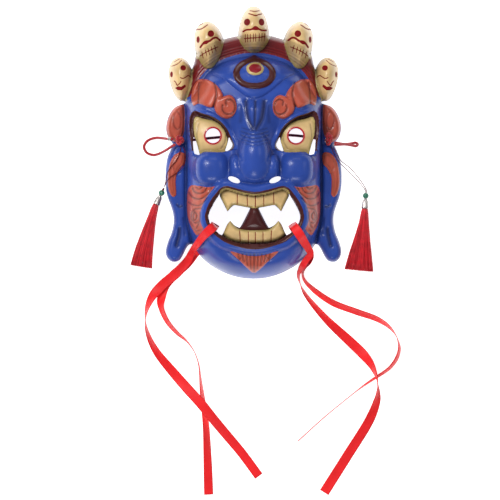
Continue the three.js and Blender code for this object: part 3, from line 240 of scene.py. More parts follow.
SIDE_GROOVES = [
    ([(39.8, 58), (38.2, 52), (37.9, 46), (39.6, 39), (41, 35)], 1.0, 1.6),
    ([(54.5, 59), (55.4, 50), (55.6, 39)], 0.9, 1.5),
    ([(28, 36.6), (28.4, 40.2), (24.8, 42), (21, 39.6), (19.4, 35), (20.4, 30), (24.6, 27),
      (29.6, 28.4), (32, 32.4), (31.6, 36)], 0.8, 1.7),
    ([(76.6, 31.4), (79.6, 27.4), (80.4, 22), (79, 16), (76, 13), (73.4, 15.6), (72.6, 21),
      (73.6, 27), (76.6, 31.4)], 0.8, 0.9),
    ([(27, 12), (28, 5), (29.4, -1), (33, -7)], 0.7, 0.8),
    ([(55.6, 18), (57, 10), (57, 3), (55.2, -7)], 0.7, 0.8),
    ([(30, -5), (34, -7.6), (40, -8.6)], 0.6, 0.5),
    ([(76.4, -62.6), (74, -64.4), (71.6, -64)], 1.2, 1.2),
    ([(74, -86.6), (74.6, -93), (76, -98.4), (77, -103)], 2.0, 2.0),
    ([(70, -76), (69.6, -84), (68.6, -92)], 1.6, 0.7),
    ([(80, -25), (77, -31.4), (73, -30)], 0.8, 0.5),
    ([(47.5, -46), (50, -50), (54.6, -51.4), (59, -50), (61.6, -46)], 0.9, 1.5),
    ([(43, -46), (46.4, -52), (51.4, -56), (57, -56.8), (62, -54.6), (65, -50)], 0.9, 1.5),
    ([(51.6, -45), (54.6, -47), (57.6, -45.4)], 0.9, 1.2),
    ([(47, -56), (51, -61), (55.4, -63.4), (61, -62.6), (65, -60)], 0.9, 1.3),
    ([(52.4, -66), (56.6, -66.6), (60, -67.6), (62.6, -72), (62, -77), (59, -80.6), (56, -80)], 0.9, 1.3),
    ([(59.4, -69.4), (57, -72.6), (57.4, -76), (59.6, -78), (60.6, -74.6), (59.4, -69.4)], 0.8, 1.4),
    ([(54, -70), (54.2, -76), (55.4, -82), (57.6, -86)], 0.9, 1.2),
    ([(63, -80), (60.4, -84.6), (57.6, -88.6), (54.6, -88)], 0.9, 1.0),
]
GOATEE = {"starts": [0.2, 3.8, 7.6, 11.6, 15.8], "top": -111.6, "bend": -117.0, "low": -129.0,
          "bend_share": 0.96, "low_share": 0.86, "half": 0.8, "deep": 1.1}
SHADED_FROM = 1.4
SKULL_EYE_DEPTH = 1.5
STROKE_DEPTH = 0.55
STROKE_SOFTNESS = 0.35
HAIR = {"pitch": 2.5, "inset": 0.4, "low": 46.0, "deep": 0.8, "shade": 0.6}
SCROLL_LINE = {"inset": 2.4, "half": 0.8, "deep": 0.6, "shade": 0.35}

# Dark red strokes on the skulls and teeth: points and half width
MIDDLE_STROKES = [
    ([(-4.2, 130.6), (0.6, 129.8), (5.2, 130.8)], 0.5),
    ([(-5.4, 127.6), (-1.6, 126.2), (1.4, 125.4), (4, 126.4), (7.6, 127.6)], 0.6),
    ([(-11, 109.8), (-8, 111.2), (-3, 111.6), (1, 114.2), (5, 111.6), (8.4, 110.6), (12, 111.2)], 0.9),
    ([(-10, 102.8), (-4, 103), (4, 103.6), (10.8, 104.8)], 0.45),
    ([(-17, -52), (-17.2, -62)], 0.4), ([(-7.2, -53), (-7, -63.6)], 0.4), ([(1, -53.6), (1, -65)], 0.45),
    ([(9.2, -53), (9.4, -63.6)], 0.4), ([(19, -50.6), (19.4, -61.6)], 0.4),
    ([(-14.6, -88.4), (-14, -99)], 0.45), ([(-6, -89.4), (-5.8, -100.4)], 0.4),
    ([(1, -89.8), (1, -101)], 0.4), ([(8.6, -89.4), (8.6, -100.4)], 0.4), ([(17, -88.4), (16.6, -99)], 0.45),
]
MIDDLE_TICKS = {"starts": [-9, -6.8, -4.2, -1, 1.2, 4.8, 7.6, 10.2], "top": 107.2, "low": 99.8,
                "slope": 0.06, "low_share": 0.97}
TICK_HALF = 0.36
SIDE_STROKES = [
    ([(57.4, 112.6), (52.4, 112.6), (46.4, 116.6)], 0.58),
    ([(55.4, 116.4), (51, 118.4)], 0.46),
    ([(53.6, 94.2), (49.4, 99.2), (44.6, 100.2), (41, 102.8), (37.6, 103.6), (34.2, 101.4)], 1.05),
    ([(54, 85.6), (47, 89.6), (36, 94.6)], 0.42),
    ([(82, 75.8), (76.6, 77.6), (72.2, 81.6)], 0.38),
    ([(79.6, 80), (74, 83.2)], 0.34),
    ([(73.6, 64), (70.6, 63.2), (68, 64.8), (65.4, 66.4), (63, 64.8)], 0.5),
    ([(79.6, 61), (78, 59.4), (76.6, 56.4), (74.4, 58), (72.8, 60.4)], 0.45),
]
SIDE_TICKS = [((52.2, 89.6), (50.8, 83.4)), ((48.8, 91.4), (47.2, 85.2)), ((46.2, 92.8), (44.4, 86.6)),
              ((43, 94.4), (41.6, 88.4)), ((39.6, 95.8), (38, 90.2))]
FILLS = [([(-4.4, 111.4), (1, 114.4), (6.2, 111.2), (1, 110.6)], False),
         ([(51.4, 96.6), (47.6, 100), (44, 99.8), (47.4, 97)], True),
         ([(79, 54), (75.4, 55.6), (72.6, 55), (68.6, 57.6), (68, 55.2), (72, 51.4), (76, 51.6)], True)]

# Where the paints reach past the carved parts
WALL_PAINT = 1.8
WALL_PAINT_FULL = 1.6
WALL_PAINT_FADE = 2.5
WALL_PAINT_REACH = 3.0
BAND_LOW = 45.0
BROWN_LOW = -9.0
EAR_PAINT = 1.2
CHEEK_TO_LIP = 5.0
RED_RING = 8.95
RED_RING_LINE = 8.75
HALO_RING = 9.9

# Cords in millimetres
CORD_ROUTES = {
    "head_cord": [(-73, 2, 13), (-73, 2, 8.5), (-71, 2.1, 5.4), (-60, 2.6, 4.6), (-48, 3.9, 4.2),
                  (-32, 5.4, 4), (0, 7.8, 4), (35, 7.4, 4), (50, 6.1, 4.2), (61, 4.4, 4.6), (71, 2.4, 5.4),
                  (73, 2, 8.5), (73, 2, 13)],
    "ear_loop_left": [(-80.6, 3, 17.6), (-86, 3.4, 13.6), (-91, 4.2, 7.2), (-98, 4.6, 2.4), (-105.6, 2, 1.7),
                      (-109.6, -4, 1.7), (-107, -10, 1.7), (-100, -12.5, 2.2), (-93, -10.6, 7),
                      (-87, -7.4, 13.6), (-81, -3.6, 17.4), (-78.4, -2.4, 19)],
    "ear_loop_right": [(80.8, -0.4, 18.4), (86, -1.2, 14.6), (92, -1.6, 7.6), (98, -1, 3.2), (102.6, -0.2, 2),
                       (104.4, -1.9, 2.6), (102.6, -3.6, 4.6), (98, -2.8, 8), (92, -2, 12.6),
                       (86, -2.2, 19), (80.6, -2.4, 22)],
}
CRIMP = {"length": 3.6, "radius": 2.1, "bore": 1.7, "along": 0.045, "pinch": 0.18, "pinch_from": 0.3,
         "pinch_to": 0.8, "bevel": (0.1, 0.15)}
ASKEW = (0.31, 0.23, 0.92)
FINE_STEPS = 60
ROUND_TURNS = 32
THREAD = {"spread": 0.62, "above_bead": 1.6, "under_bead": 2.0, "in_cap": 0.6, "turn": 0.11,
          "far_drop": (1.2, 3.6, 1.0)}
BEAD = {"radius": 3.1, "bore": 1.35}
CAP = {"length": 9.6, "top": 2.3, "end": 3.9, "wall": 0.7, "shoulder": 0.9, "flare": 0.8, "turns": 96}
ENGRAVING = {"low": 0.15, "high": 0.88, "skin": 0.3, "petals": 3, "turn": 0.4, "width": 0.9, "taper": 1.4,
             "rim": 0.12, "vein": 0.02, "vein_depth": 0.7, "deep": 0.22}
FRINGE = {"seeds": {"left": 7, "right": 11}, "steps": 12, "rings": 9, "middle": 0.02, "fill": 0.97,
          "wave": 0.35, "wave_step": 0.8, "shortest": 0.975, "cut": 40, "off_floor": 0.1}
TASSELS = {
    "left": {
        "bead": (-92, -50.5, 3.4), "towards": (-0.42, -0.9075, 0.06),
        "near": [(-70.6, -4.6), (-68.8, -9), (-68.2, -16), (-70.6, -24.6), (-77.6, -31), (-84, -35.4),
                 (-87.2, -40)],
        "far": [(-72.8, -5), (-74.6, -12.5), (-78, -19), (-83.4, -25.4), (-86.8, -32.6), (-87.8, -38.6)],
        "drop": (-89.6, -45, 7.6),
        "fringe": [(-97.2, -61.7, 4.2, 2.6, 2.5), (-98.4, -64.6, 4.1, 3.4, 3.1),
                   (-102, -77, 3.6, 4.6, 2.9), (-106.4, -94, 3.2, 7.2, 2.6), (-110, -110, 2.9, 9.6, 2.4),
                   (-112.4, -124.6, 2.8, 11.3, 2.3)],
    },
    "right": {
        "bead": (112.3, -53.3, 3.4), "towards": (-0.08, -0.9965, 0.06),
        "near": [(79.6, -4), (82.2, -9.6), (85.2, -15.2), (87.6, -18.6)],
        "far": [(77.6, -4.6), (79.8, -11), (83.8, -17), (86.8, -21.2)],
        "drop": (98, -27, 7.6),
        "fringe": [(111.5, -65.4, 4.2, 2.6, 2.5), (111.3, -68.6, 4.1, 3.5, 3.1), (110.4, -82, 3.6, 5.4, 2.9),
                   (108.6, -98, 3.2, 8.8, 2.6), (107, -113, 2.9, 12.4, 2.4), (105.6, -128.4, 2.8, 15.3, 2.3)],
    },
}

# Ribbons: x, y, height or None where the ribbon lies over the mask, lean and width
RIBBONS = {
    "ribbon_left_front": [
        (-38.6, -82.6, 27, 0, 8), (-39, -83, 41, 0, 8), (-40.2, -84, 52.4, 0, 8.6),
        (-43, -86.4, None, 0, 9.4), (-46.4, -89.4, None, 0, 9), (-51.6, -94.8, None, 0, 8),
        (-56.4, -101.4, None, 0, 7), (-61.6, -109, 6, 0, 6.4), (-65, -117, 2.4, 0, 8.6),
        (-76, -129.6, 2.2, 0, 10), (-91.5, -143, 2.8, 0, 10), (-101.5, -154.6, 4.6, 40, 10),
        (-106.6, -167, 5.2, 70, 10), (-108, -178, 5.4, 90, 10), (-105.7, -191, 5.2, 112, 10),
        (-97.5, -208.4, 4, 135, 10), (-80.1, -230.2, 5, 158, 10), (-66, -246.4, 10.6, 175, 10),
        (-52.5, -261.4, 12.6, 180, 10), (-40, -277, 10, 180, 9.6), (-27.8, -291.6, 3.6, 180, 9.4),
        (-11.6, -311, 1, 180, 9.2), (5.4, -334, 0.6, 180, 9.2)],
    "ribbon_left_back": [
        (-38.2, -81.6, 16, 0, 9), (-40, -84.6, 5, 0, 9), (-47, -95.6, 2.2, 0, 8), (-53.2, -105.4, 0.7, 0, 7),
        (-58.8, -113, 0.6, 0, 6.6), (-66.6, -121.6, 0.5, 0, 8.6), (-78.6, -131.6, 0.4, 0, 10),
        (-88.4, -143, 0.4, 0, 9.6), (-91.8, -154, 1.8, 16, 9), (-92.2, -165, 4.7, 58, 10),
        (-85.9, -179.3, 4.9, 63, 10), (-75.7, -191, 5.1, 70, 10), (-67, -198.4, 5.4, 82, 10),
        (-59.7, -208.4, 5.4, 90, 10), (-54.8, -221.5, 5.4, 94, 10), (-53.1, -234.6, 5.3, 100, 10),
        (-51.6, -249.1, 5, 112, 10), (-49.4, -265, 4.8, 120, 10), (-47.2, -286, 4.3, 130, 10),
        (-46.2, -308, 3.8, 140, 10), (-45.4, -330, 3.2, 150, 10), (-44.8, -352.4, 2.1, 160, 9.6)],
    "ribbon_right_front": [
        (37.8, -82.2, 27, 0, 8), (38.2, -82.8, 41, 0, 8), (39.2, -84, 52.4, 0, 8.6),
        (41.8, -87.8, None, 0, 9.4), (45, -92.6, None, 0, 9.2), (48.8, -98.6, None, 0, 8.6),
        (53.4, -105.4, None, 0, 7.4), (56, -112.2, None, 0, 6.6), (51.6, -118.4, None, 0, 6.4),
        (47.4, -126, 5.4, 50, 8), (45, -133, 5.2, 75, 9), (46.6, -141, 5.4, 88, 10),
        (50.6, -149.6, 5.2, 108, 10), (56.9, -158.5, 4.8, 118, 10), (74, -177.9, 3.8, 138, 10),
        (97.2, -199.7, 1.8, 165, 10), (110, -212.4, 2.4, 195, 10), (118, -223, 6, 225, 9),
        (122.6, -234.4, 9.8, 255, 8), (124.2, -246.2, 7.2, 285, 9), (123.4, -258, 4.2, 315, 10),
        (116.4, -277, 2.2, 340, 10), (94.3, -313.1, 1, 352, 10), (70.8, -350.4, 0.5, 360, 10)],
    "ribbon_right_back": [
        (38.2, -81.6, 16, 0, 9), (40, -84.6, 5, 0, 9), (47, -95.6, 2.2, 0, 8), (53.4, -105.4, 0.7, 0, 7),
        (57.2, -113.2, 0.6, 0, 6.6), (55, -120, 2.4, 35, 7), (51, -126, 4.2, 66, 8.6),
        (49.4, -131.8, 5.3, 82, 10), (51.6, -138.2, 5.3, 74, 10), (62.3, -148.8, 4.8, 60, 10),
        (79.8, -160.4, 4.3, 52, 10), (103, -169.2, 4.3, 52, 10), (123.4, -176.4, 4.7, 60, 10),
        (135, -183.7, 5.1, 72, 10), (141.6, -191.4, 5.4, 86, 10), (145, -199, 5.4, 98, 10),
        (146.2, -206.6, 5.2, 108, 10), (143.7, -215.7, 5, 114, 10), (137.2, -225, 4.7, 114, 9),
        (129, -231.4, 3.6, 116, 7), (122, -235.8, 2.7, 120, 5), (113.6, -241.4, 3.1, 108, 6),
        (103, -249.1, 4.7, 95, 9), (74, -272.4, 5.4, 90, 10), (44.3, -299.1, 5.4, 90, 10)],
}
HEADING_SPAN = 0.03
LIFT = {"over_mask": 0.8, "off_floor": 0.12, "from": 0.2, "reach": 3}
SATIN = {"pitch": 1.6, "columns": 9, "cup": 0.35, "cup_middle": 0.3, "ripple": 0.25, "ripple_length": 9.0,
         "ripple_across": 5, "selvedge": 0.42, "selvedge_gain": 0.35}

# Camera and lights in metres: place, size, share of the key light's power and colour
SENSOR = 36
SEEN_MIDDLE = (-0.0036, -0.1076, 0.008)
FLOOR = {"size": 8, "gap": 0.0002}
SKY = {"colour": (0.93, 0.95, 1.0, 1), "strength": 0.24}
WHITE = (1.0, 1.0, 1.0)
SOFTBOXES = {
    "front": ((-3.2, 2.4, 6.2), 2.0, 9, WHITE),
    "key": ((-0.75, 0.55, 1.25), 0.7, 1, (1.0, 0.98, 0.96)),
    "fill": ((0.95, 0.35, 1.15), 0.6, 0.2, (0.96, 0.98, 1.0)),
    "top": ((0.05, 1.1, 0.9), 0.5, 0.14, WHITE),
    "low": ((-0.1, -1.15, 1.0), 0.5, 0.62, WHITE),
    "spark": ((-0.8, 0.9, 2.7), 0.3, 1.9, WHITE),
}


def colour_setting(name, description, default):
    return FloatVectorProperty(name=name, description=description, subtype="COLOR", default=default)


def length_setting(name, description, default):
    return FloatProperty(name=name, description=description, default=default, unit="LENGTH", precision=5)


class MaskPaint(bpy.types.PropertyGroup):
    """Paints of the mask and how finely it is meshed"""
    blue: colour_setting("Blue", "Body colour of the moulding", (0.025, 0.066, 0.335))
    orange: colour_setting("Orange", "Brows, scrolls, cheeks and goatee", (0.46, 0.085, 0.05))
    cream: colour_setting("Cream", "Skulls, teeth and eyes", (0.66, 0.455, 0.205))
    brown: colour_setting("Dark brown", "Rims, tongue and ring", (0.062, 0.012, 0.012))
    band: colour_setting("Dark red", "Hair band and strokes", (0.19, 0.010, 0.012))
    red: colour_setting("Red", "Rims of the eye holes", (0.42, 0.012, 0.025))
    halo: colour_setting("Halo", "Blush round the eye holes", (0.62, 0.26, 0.17))
    pupil: colour_setting("Pupil", "Middle of the third eye", (0.24, 0.008, 0.018))
    # Olive towards the edges of the cream parts: painted shade where the skulls and teeth round away
    olive_shade: colour_setting("Olive", "Painted shade at the edges of the cream parts", (0.42, 0.33, 0.11))
    crease: colour_setting("Crease", "Shade gathered in grooves and hollows", (0.012, 0.008, 0.012))
    pitch: FloatProperty(name="Mesh pitch", description="Spacing of the fine mesh, in millimetres",
                         default=0.92, min=0.7, max=3.0)


class CordSizes(bpy.types.PropertyGroup):
    """Sizes and colour of the cords and tassels"""
    cord: length_setting("Cord", "Diameter of the elastic cord", 0.0028)
    thread: length_setting("Thread", "Diameter of the tassel's thread", 0.0008)
    strands: IntProperty(name="Strands", description="Threads in a fringe", default=420, min=60, max=900)
    strand: length_setting("Strand", "Thickness of a fringe's thread", 0.00052)
    crimson: colour_setting("Crimson", "Cords and fringes", (0.58, 0.011, 0.022))


class RibbonSizes(bpy.types.PropertyGroup):
    """Thickness and colour of the ribbons"""
    thickness: length_setting("Thickness", "Thickness of the satin", 0.0004)
    red: colour_setting("Ribbon red", "Colour of the satin", (0.93, 0.024, 0.028))


class StageSizes(bpy.types.PropertyGroup):
    """Camera distance, view width and light"""
    distance: length_setting("Camera distance", "From the mask's rim to the camera", 7.0)
    tilt: FloatProperty(name="Tilt", description="Lean of the view to the left, in degrees", default=1.1)
    view: length_setting("View width", "Width that the camera sees", 0.5)
    light: FloatProperty(name="Light", description="Power of the key light in watts", default=9.2)


def settings():
    return bpy.context.scene


def spline(points, closed=False, steps=6):
    """Catmull-Rom run through the points."""
    p = np.array(points, float)
    count = len(p)
    if closed:
        around = [p[(i - 1) % count] for i in range(count + 3)]
    else:
        around = [2 * p[0] - p[1], *p, 2 * p[-1] - p[-2]]
    t = (np.arange(steps) / steps)[:, None]
    run = []
    for a, b, c, d in zip(around, around[1:], around[2:], around[3:]):
        run.append(0.5 * (2 * b + (c - a) * t + (2 * a - 5 * b + 4 * c - d) * t ** 2
                          + (3 * b - a - 3 * c + d) * t ** 3))
    if not closed:
        run.append(p[-1:])
    return np.concatenate(run)


def whole(half):
    return spline(list(half) + [(-x, y) for x, y in reversed(half) if x > 0], True)


def cornered(runs):
    return np.concatenate([spline(run)[:-1] for run in runs])


def silhouette_run():
    half = np.concatenate([cornered(SILHOUETTE), [SILHOUETTE[-1][-1]]])
    other = half[half[:, 0] > 1e-9][::-1] * [-1, 1]
    return np.concatenate([half, other])


def ellipse(x, y, rx, ry, turn=0.0, count=48):
    a = np.linspace(0, 2 * math.pi, count, endpoint=False)
    u, v = rx * np.cos(a), ry * np.sin(a)
    t = math.radians(turn)
    return np.stack([x + u * math.cos(t) - v * math.sin(t), y + u * math.sin(t) + v * math.cos(t)], 1)


def near_segments(x, y, run, closed, margin):
    """Squared distance to a run, and which points lie inside it, for points near enough to matter."""
    low, high = run.min(0) - margin, run.max(0) + margin
    picked = np.flatnonzero((x > low[0]) & (x < high[0]) & (y > low[1]) & (y < high[1]))
    px, py = x[picked], y[picked]
    best = np.full(len(picked), 1e9)
    inside = np.zeros(len(picked), bool)
    ends = np.roll(run, -1, 0) if closed else run[1:]
    for (ax, ay), (bx, by) in zip(run, ends):
        ex, ey = bx - ax, by - ay
        t = np.clip(((px - ax) * ex + (py - ay) * ey) / (ex * ex + ey * ey + 1e-12), 0, 1)
        best = np.minimum(best, (px - ax - t * ex) ** 2 + (py - ay - t * ey) ** 2)
        if closed and ay != by:
            inside ^= ((ay > py) != (by > py)) & (px < ex * (py - ay) / (ey or 1) + ax)
    return picked, np.sqrt(best), inside


def depth_in(x, y, run):
    """Distance to a closed run, positive inside and no more than NEAR outside."""
    out = np.full(len(x), -NEAR)
    picked, far, inside = near_segments(x, y, run, True, NEAR)
    out[picked] = np.where(inside, far, -np.minimum(far, NEAR))
    return out


def line_away(x, y, run, margin):
    out = np.full(len(x), 1e3)
    picked, far, _ = near_segments(x, y, run, False, margin)
    out[picked] = far
    return out


def quarter_round(depth, width):
    t = 1 - np.clip(depth / width, 0, 1)
    return np.sqrt(1 - t * t)


def smooth_step(t):
    c = np.clip(t, 0, 1)
    return c * c * (3 - 2 * c)


def crown_at(y):
    return np.interp(y, [row[0] for row in CROWN], [row[1] for row in CROWN])


OUTLINES = {name: whole(half) for name, half in HALVES.items()}
OUTLINES.update({name: spline(run, True) for name, run in SIDES.items()})
RIM = silhouette_run()


def depths(x, y):
    """Depth of every point in every carved part."""
    ax = np.abs(x)
    found = {name: depth_in(ax, y, run) for name, run in OUTLINES.items()}
    found["silhouette"] = depth_in(x, y, RIM)
    return found


def egg(ax, y, x0, y0, rx, ry):
    return 1 - ((ax - x0) / rx) ** 2 - ((y - y0) / ry) ** 2


def raised(depth, name):
    rise, width = RAISED[name]
    return rise * quarter_round(depth, width)


def beaded(depth, height, place, half):
    return height * np.maximum(0, 1 - ((depth - place) / half) ** 2)


def moulded_height(x, y, d):
    """Height of the moulding before its grooves."""
    ax = np.abs(x)
    crown = crown_at(y) - SIDE_FALL * (ax / FACE_HALF_WIDTH) ** 2
    skirt = EDGE + raised(d["silhouette"], "skirt")
    plate = np.where(y > PLATE_LOW, EDGE + raised(d["plate"], "plate"), 0)
    wall = SIDE_WALL + (CHIN_WALL - SIDE_WALL) * smooth_step((CHIN_TOP - y) / CHIN_BLEND)
    z = np.maximum(np.maximum(skirt, plate), EDGE + (crown - EDGE) * quarter_round(d["face"], wall))
    z += raised(d["forehead"], "forehead") * smooth_step(d["face"] / FOREHEAD_BLEND)
    z += nose_ridge(ax, y)
    x0, y0, rx, ry, deep = SOCKET
    z -= deep * np.exp(-((ax - x0) / rx) ** 2 - ((y - y0) / ry) ** 2)
    z += raised(np.maximum(d["brow"], d["brow_curl"]), "brow")
    z = eye_height(ax, y, d, z)
    for swelling in (NOSE_WING, NOSE_BASE, NOSE_BALL, CHEEK_BALL):
        z = swollen(ax, y, swelling, z)
    z = mouth_height(d, z, crown)
    z += raised(np.minimum(d["ring_outer"], -d["ring_inner"]), "ring")
    z += THIRD_EYE[4] * np.sqrt(np.maximum(0, egg(ax, y, *THIRD_EYE[:4])))
    z += raised(d["goatee"], "goatee")
    for name in ("ear", "lobe"):
        z = np.where(d[name] > 0, np.maximum(z, EDGE + raised(d[name], "ear")), z)
    z += raised(d["ear_scroll"], "scroll") + raised(d["lobe_scroll"], "scroll")
    for skull in SKULLS:
        z = skull_height(ax, y, d, skull, z)
    return z


def nose_ridge(ax, y):
    top = smooth_step((NOSE_RIDGE["top"] - y) / NOSE_RIDGE["top_blend"])
    low = smooth_step((y - NOSE_RIDGE["low"]) / NOSE_RIDGE["low_blend"])
    return NOSE_RIDGE["height"] * np.exp(-(ax / NOSE_RIDGE["half"]) ** 2) * top * low


def melted(form, around, melt, bulge=1.0):
    """Softer form of the greater of two heights."""
    share = np.clip(0.5 + 0.5 * (form - around) / melt, 0, 1)
    return around + (form - around) * share + melt * share * (1 - share) * bulge


def skull_height(ax, y, d, skull, around):
    name, x0, y0, rx, ry, shoulder, rise = skull
    edge = quarter_round(d[name], SKULL_EDGE)
    dome = rise * np.maximum(0, egg(ax, y, x0, y0, rx, ry)) ** SKULL_POWER
    dome += EDGE + shoulder * quarter_round(d[name], SKULL_WALL)
    return np.where(d[name] > 0, melted(dome, around + SKULL_STEP * edge, SKULL_MELT, edge), around)


def swollen(ax, y, swelling, around):
    """Rounded box that melts into what lies around it."""
    x0, y0, rx, ry, foot, rise, melt, square = swelling
    s = 1 - np.abs((ax - x0) / rx) ** square - np.abs((y - y0) / ry) ** square
    return melted(foot + rise * np.sqrt(np.maximum(s, 0)) - SWELLING_FALL * np.maximum(-s, 0), around, melt)


def eye_height(ax, y, d, around):
    depth = d["eye_rim"]
    bulge = EYE_BULGE[4] * np.maximum(0, egg(ax, y, *EYE_BULGE[:4]))
    ball = EYE_FLOOR + bulge - np.where(d["eyeball"] > 0, 0, EYE_STEP)
    sunk = ball + (np.maximum(around, ball) - ball) * smooth_step(1 - depth / EYE_WALL)
    z = np.where(depth > 0, sunk, around)
    return z + np.where(y > LID_LOW, beaded(depth, *LID), 0)


def mouth_height(d, around, crown):
    lip = sum(beaded(d["mouth_rim"], *bead) for bead in LIPS)
    teeth = raised(np.maximum(d["upper_teeth"], d["lower_teeth"]), "teeth")
    panel = crown - PANEL_FALL + np.maximum(teeth, raised(d["tongue"], "tongue"))
    return np.where(d["mouth"] <= 0, around + lip, panel)


def openings():
    """Runs of every hole through the mask."""
    right = [ellipse(PUPIL[0], PUPIL[1], PUPIL[2], PUPIL[2]), ellipse(*NOSTRIL),
             ellipse(EAR_HOLE[0], EAR_HOLE[1], EAR_HOLE[2], EAR_HOLE[2]),
             spline(INNER_GAP, True), spline(OUTER_GAP, True), cornered(MOUTH_GAP)]
    return right + [run[::-1] * [-1, 1] for run in right]


def groove_runs():
    """Every cut groove as a run, its half width, depth and whether it is mirrored."""
    runs = [(spline(points, steps=8), half, deep, False) for points, half, deep in MIDDLE_GROOVES]
    runs += [(spline(points, steps=8), half, deep, True) for points, half, deep in SIDE_GROOVES]
    bend, gather = GOATEE["bend_share"], GOATEE["low_share"]
    for x in GOATEE["starts"]:
        low = GOATEE["low"] + gather * x
        run = np.array([(x, GOATEE["top"]), (x * bend, GOATEE["bend"]), (x * gather, low)])
        runs.append((run, GOATEE["half"], GOATEE["deep"], True))
    return runs


def stroke_runs():
    """Painted strokes as runs, their half width and whether they are mirrored."""
    runs = [(spline(points, steps=5), half, False) for points, half in MIDDLE_STROKES]
    runs += [(spline(points, steps=5), half, True) for points, half in SIDE_STROKES]
    ticks = MIDDLE_TICKS
    for x in ticks["starts"]:
        rise = ticks["slope"] * x
        run = np.array([(x, ticks["top"] + rise), (x * ticks["low_share"], ticks["low"] + rise)])
        runs.append((run, TICK_HALF, False))
    return runs + [(np.array(pair), TICK_HALF, True) for pair in SIDE_TICKS]


def cut_grooves(x, y, d):
    """Depth cut at each point, and how much painted shade it gets for lying in a groove."""
    ax = np.abs(x)
    cut, shade = np.zeros(len(x)), np.zeros(len(x))

    def carve(share, deep, shaded=0.0):
        np.maximum(cut, deep * share, out=cut)
        np.maximum(shade, shaded * share, out=shade)

    for run, half, deep, both in groove_runs():
        away = line_away(ax if both else x, y, run, 4 * half)
        carve(np.exp(-(away / half) ** 2), deep, min(deep / SHADED_FROM, 1))
    for socket in SKULL_EYES:
        carve(smooth_step(egg(ax, y, *socket) * 2), SKULL_EYE_DEPTH)
    for run, half, both in stroke_runs():
        away = line_away(ax if both else x, y, run, 4)
        carve(np.exp(-(away / (half + STROKE_SOFTNESS)) ** 2), STROKE_DEPTH)
    band = np.minimum(d["plate"], -d["face"])
    ridge = 0.5 + 0.5 * np.cos(2 * math.pi * (-d["face"]) / HAIR["pitch"])
    hair = np.where((band > HAIR["inset"]) & (y > HAIR["low"]), 1.0, 0)
    carve(ridge * hair, HAIR["deep"], HAIR["shade"])
    scroll = np.maximum(d["ear_scroll"], d["lobe_scroll"])
    inner = np.exp(-((scroll - SCROLL_LINE["inset"]) / SCROLL_LINE["half"]) ** 2)
    carve(inner, SCROLL_LINE["deep"], SCROLL_LINE["shade"])
    return cut, shade


def deepest(*fields):
    return np.max(fields, 0)


def stroke_depth(x, y):
    ax = np.abs(x)
    fields = [width - line_away(ax if both else x, y, run, NEAR) for run, width, both in stroke_runs()]
    fields += [depth_in(ax if both else x, y, np.array(run, float)) for run, both in FILLS]
    fields += [egg(ax, y, x0, y0, rx, ry) * rx * 0.5 for x0, y0, rx, ry in SKULL_EYES]
    return np.maximum(deepest(*fields), -NEAR)


def paint_depths(x, y, d):
    """For each paint, how deep a point lies in it."""
    outer = d["plate"] + np.where(d["silhouette"] < WALL_PAINT_REACH, WALL_PAINT, 0)
    ring = np.minimum(d["ring_outer"], -d["ring_inner"])
    teeth = np.maximum(d["upper_teeth"], d["lower_teeth"])
    wall = WALL_PAINT * smooth_step(WALL_PAINT_FULL - d["silhouette"] / WALL_PAINT_FADE)
    skulls = deepest(d["middle_skull"], d["side_skull"], d["outer_skull"]) + wall
    cheek = np.minimum(d["cheek"], -d["mouth_rim"] - CHEEK_TO_LIP)
    scrolls = np.maximum(d["ear_scroll"] + EAR_PAINT, d["lobe_scroll"])
    from_pupil = np.hypot(np.abs(x) - PUPIL[0], y - PUPIL[1])
    return {
        "band": np.min([outer, -d["face"], y - BAND_LOW], 0),
        "brown": deepest(np.minimum(d["eye_rim"], y - BROWN_LOW), ring, d["mouth_rim"]),
        "cream": deepest(d["eyeball"], egg(x, y, *IRIS) * IRIS_SCALE, teeth, skulls),
        "orange": deepest(d["brow"], d["brow_curl"], scrolls, cheek, d["goatee"]),
        "stroke": stroke_depth(x, y),
        "red": RED_RING - from_pupil,
        "pupil": egg(x, y, *IRIS_MIDDLE) * IRIS_MIDDLE_SCALE,
        "halo": HALO_RING - from_pupil,
    }


def even(run, pitch, closed=True):
    """Points at an even pitch along a run."""
    line = np.concatenate([run, run[:1]]) if closed else run
    steps = np.hypot(*np.diff(line, axis=0).T)
    at = np.concatenate([[0], np.cumsum(steps)])
    count = max(int(round(at[-1] / pitch)), 3)
    s = np.linspace(0, at[-1], count + 1)
    out = np.stack([np.interp(s, at, line[:, 0]), np.interp(s, at, line[:, 1])], 1)
    return out[:-1] if closed else out


def inset(run, distance):
    ahead = np.roll(run, -1, 0) - np.roll(run, 1, 0)
    ahead /= np.maximum(np.hypot(*ahead.T), 1e-9)[:, None]
    area = np.sum(run[:, 0] * np.roll(run[:, 1], -1) - np.roll(run[:, 0], -1) * run[:, 1])
    return run + np.stack([-ahead[:, 1], ahead[:, 0]], 1) * distance * np.sign(area)


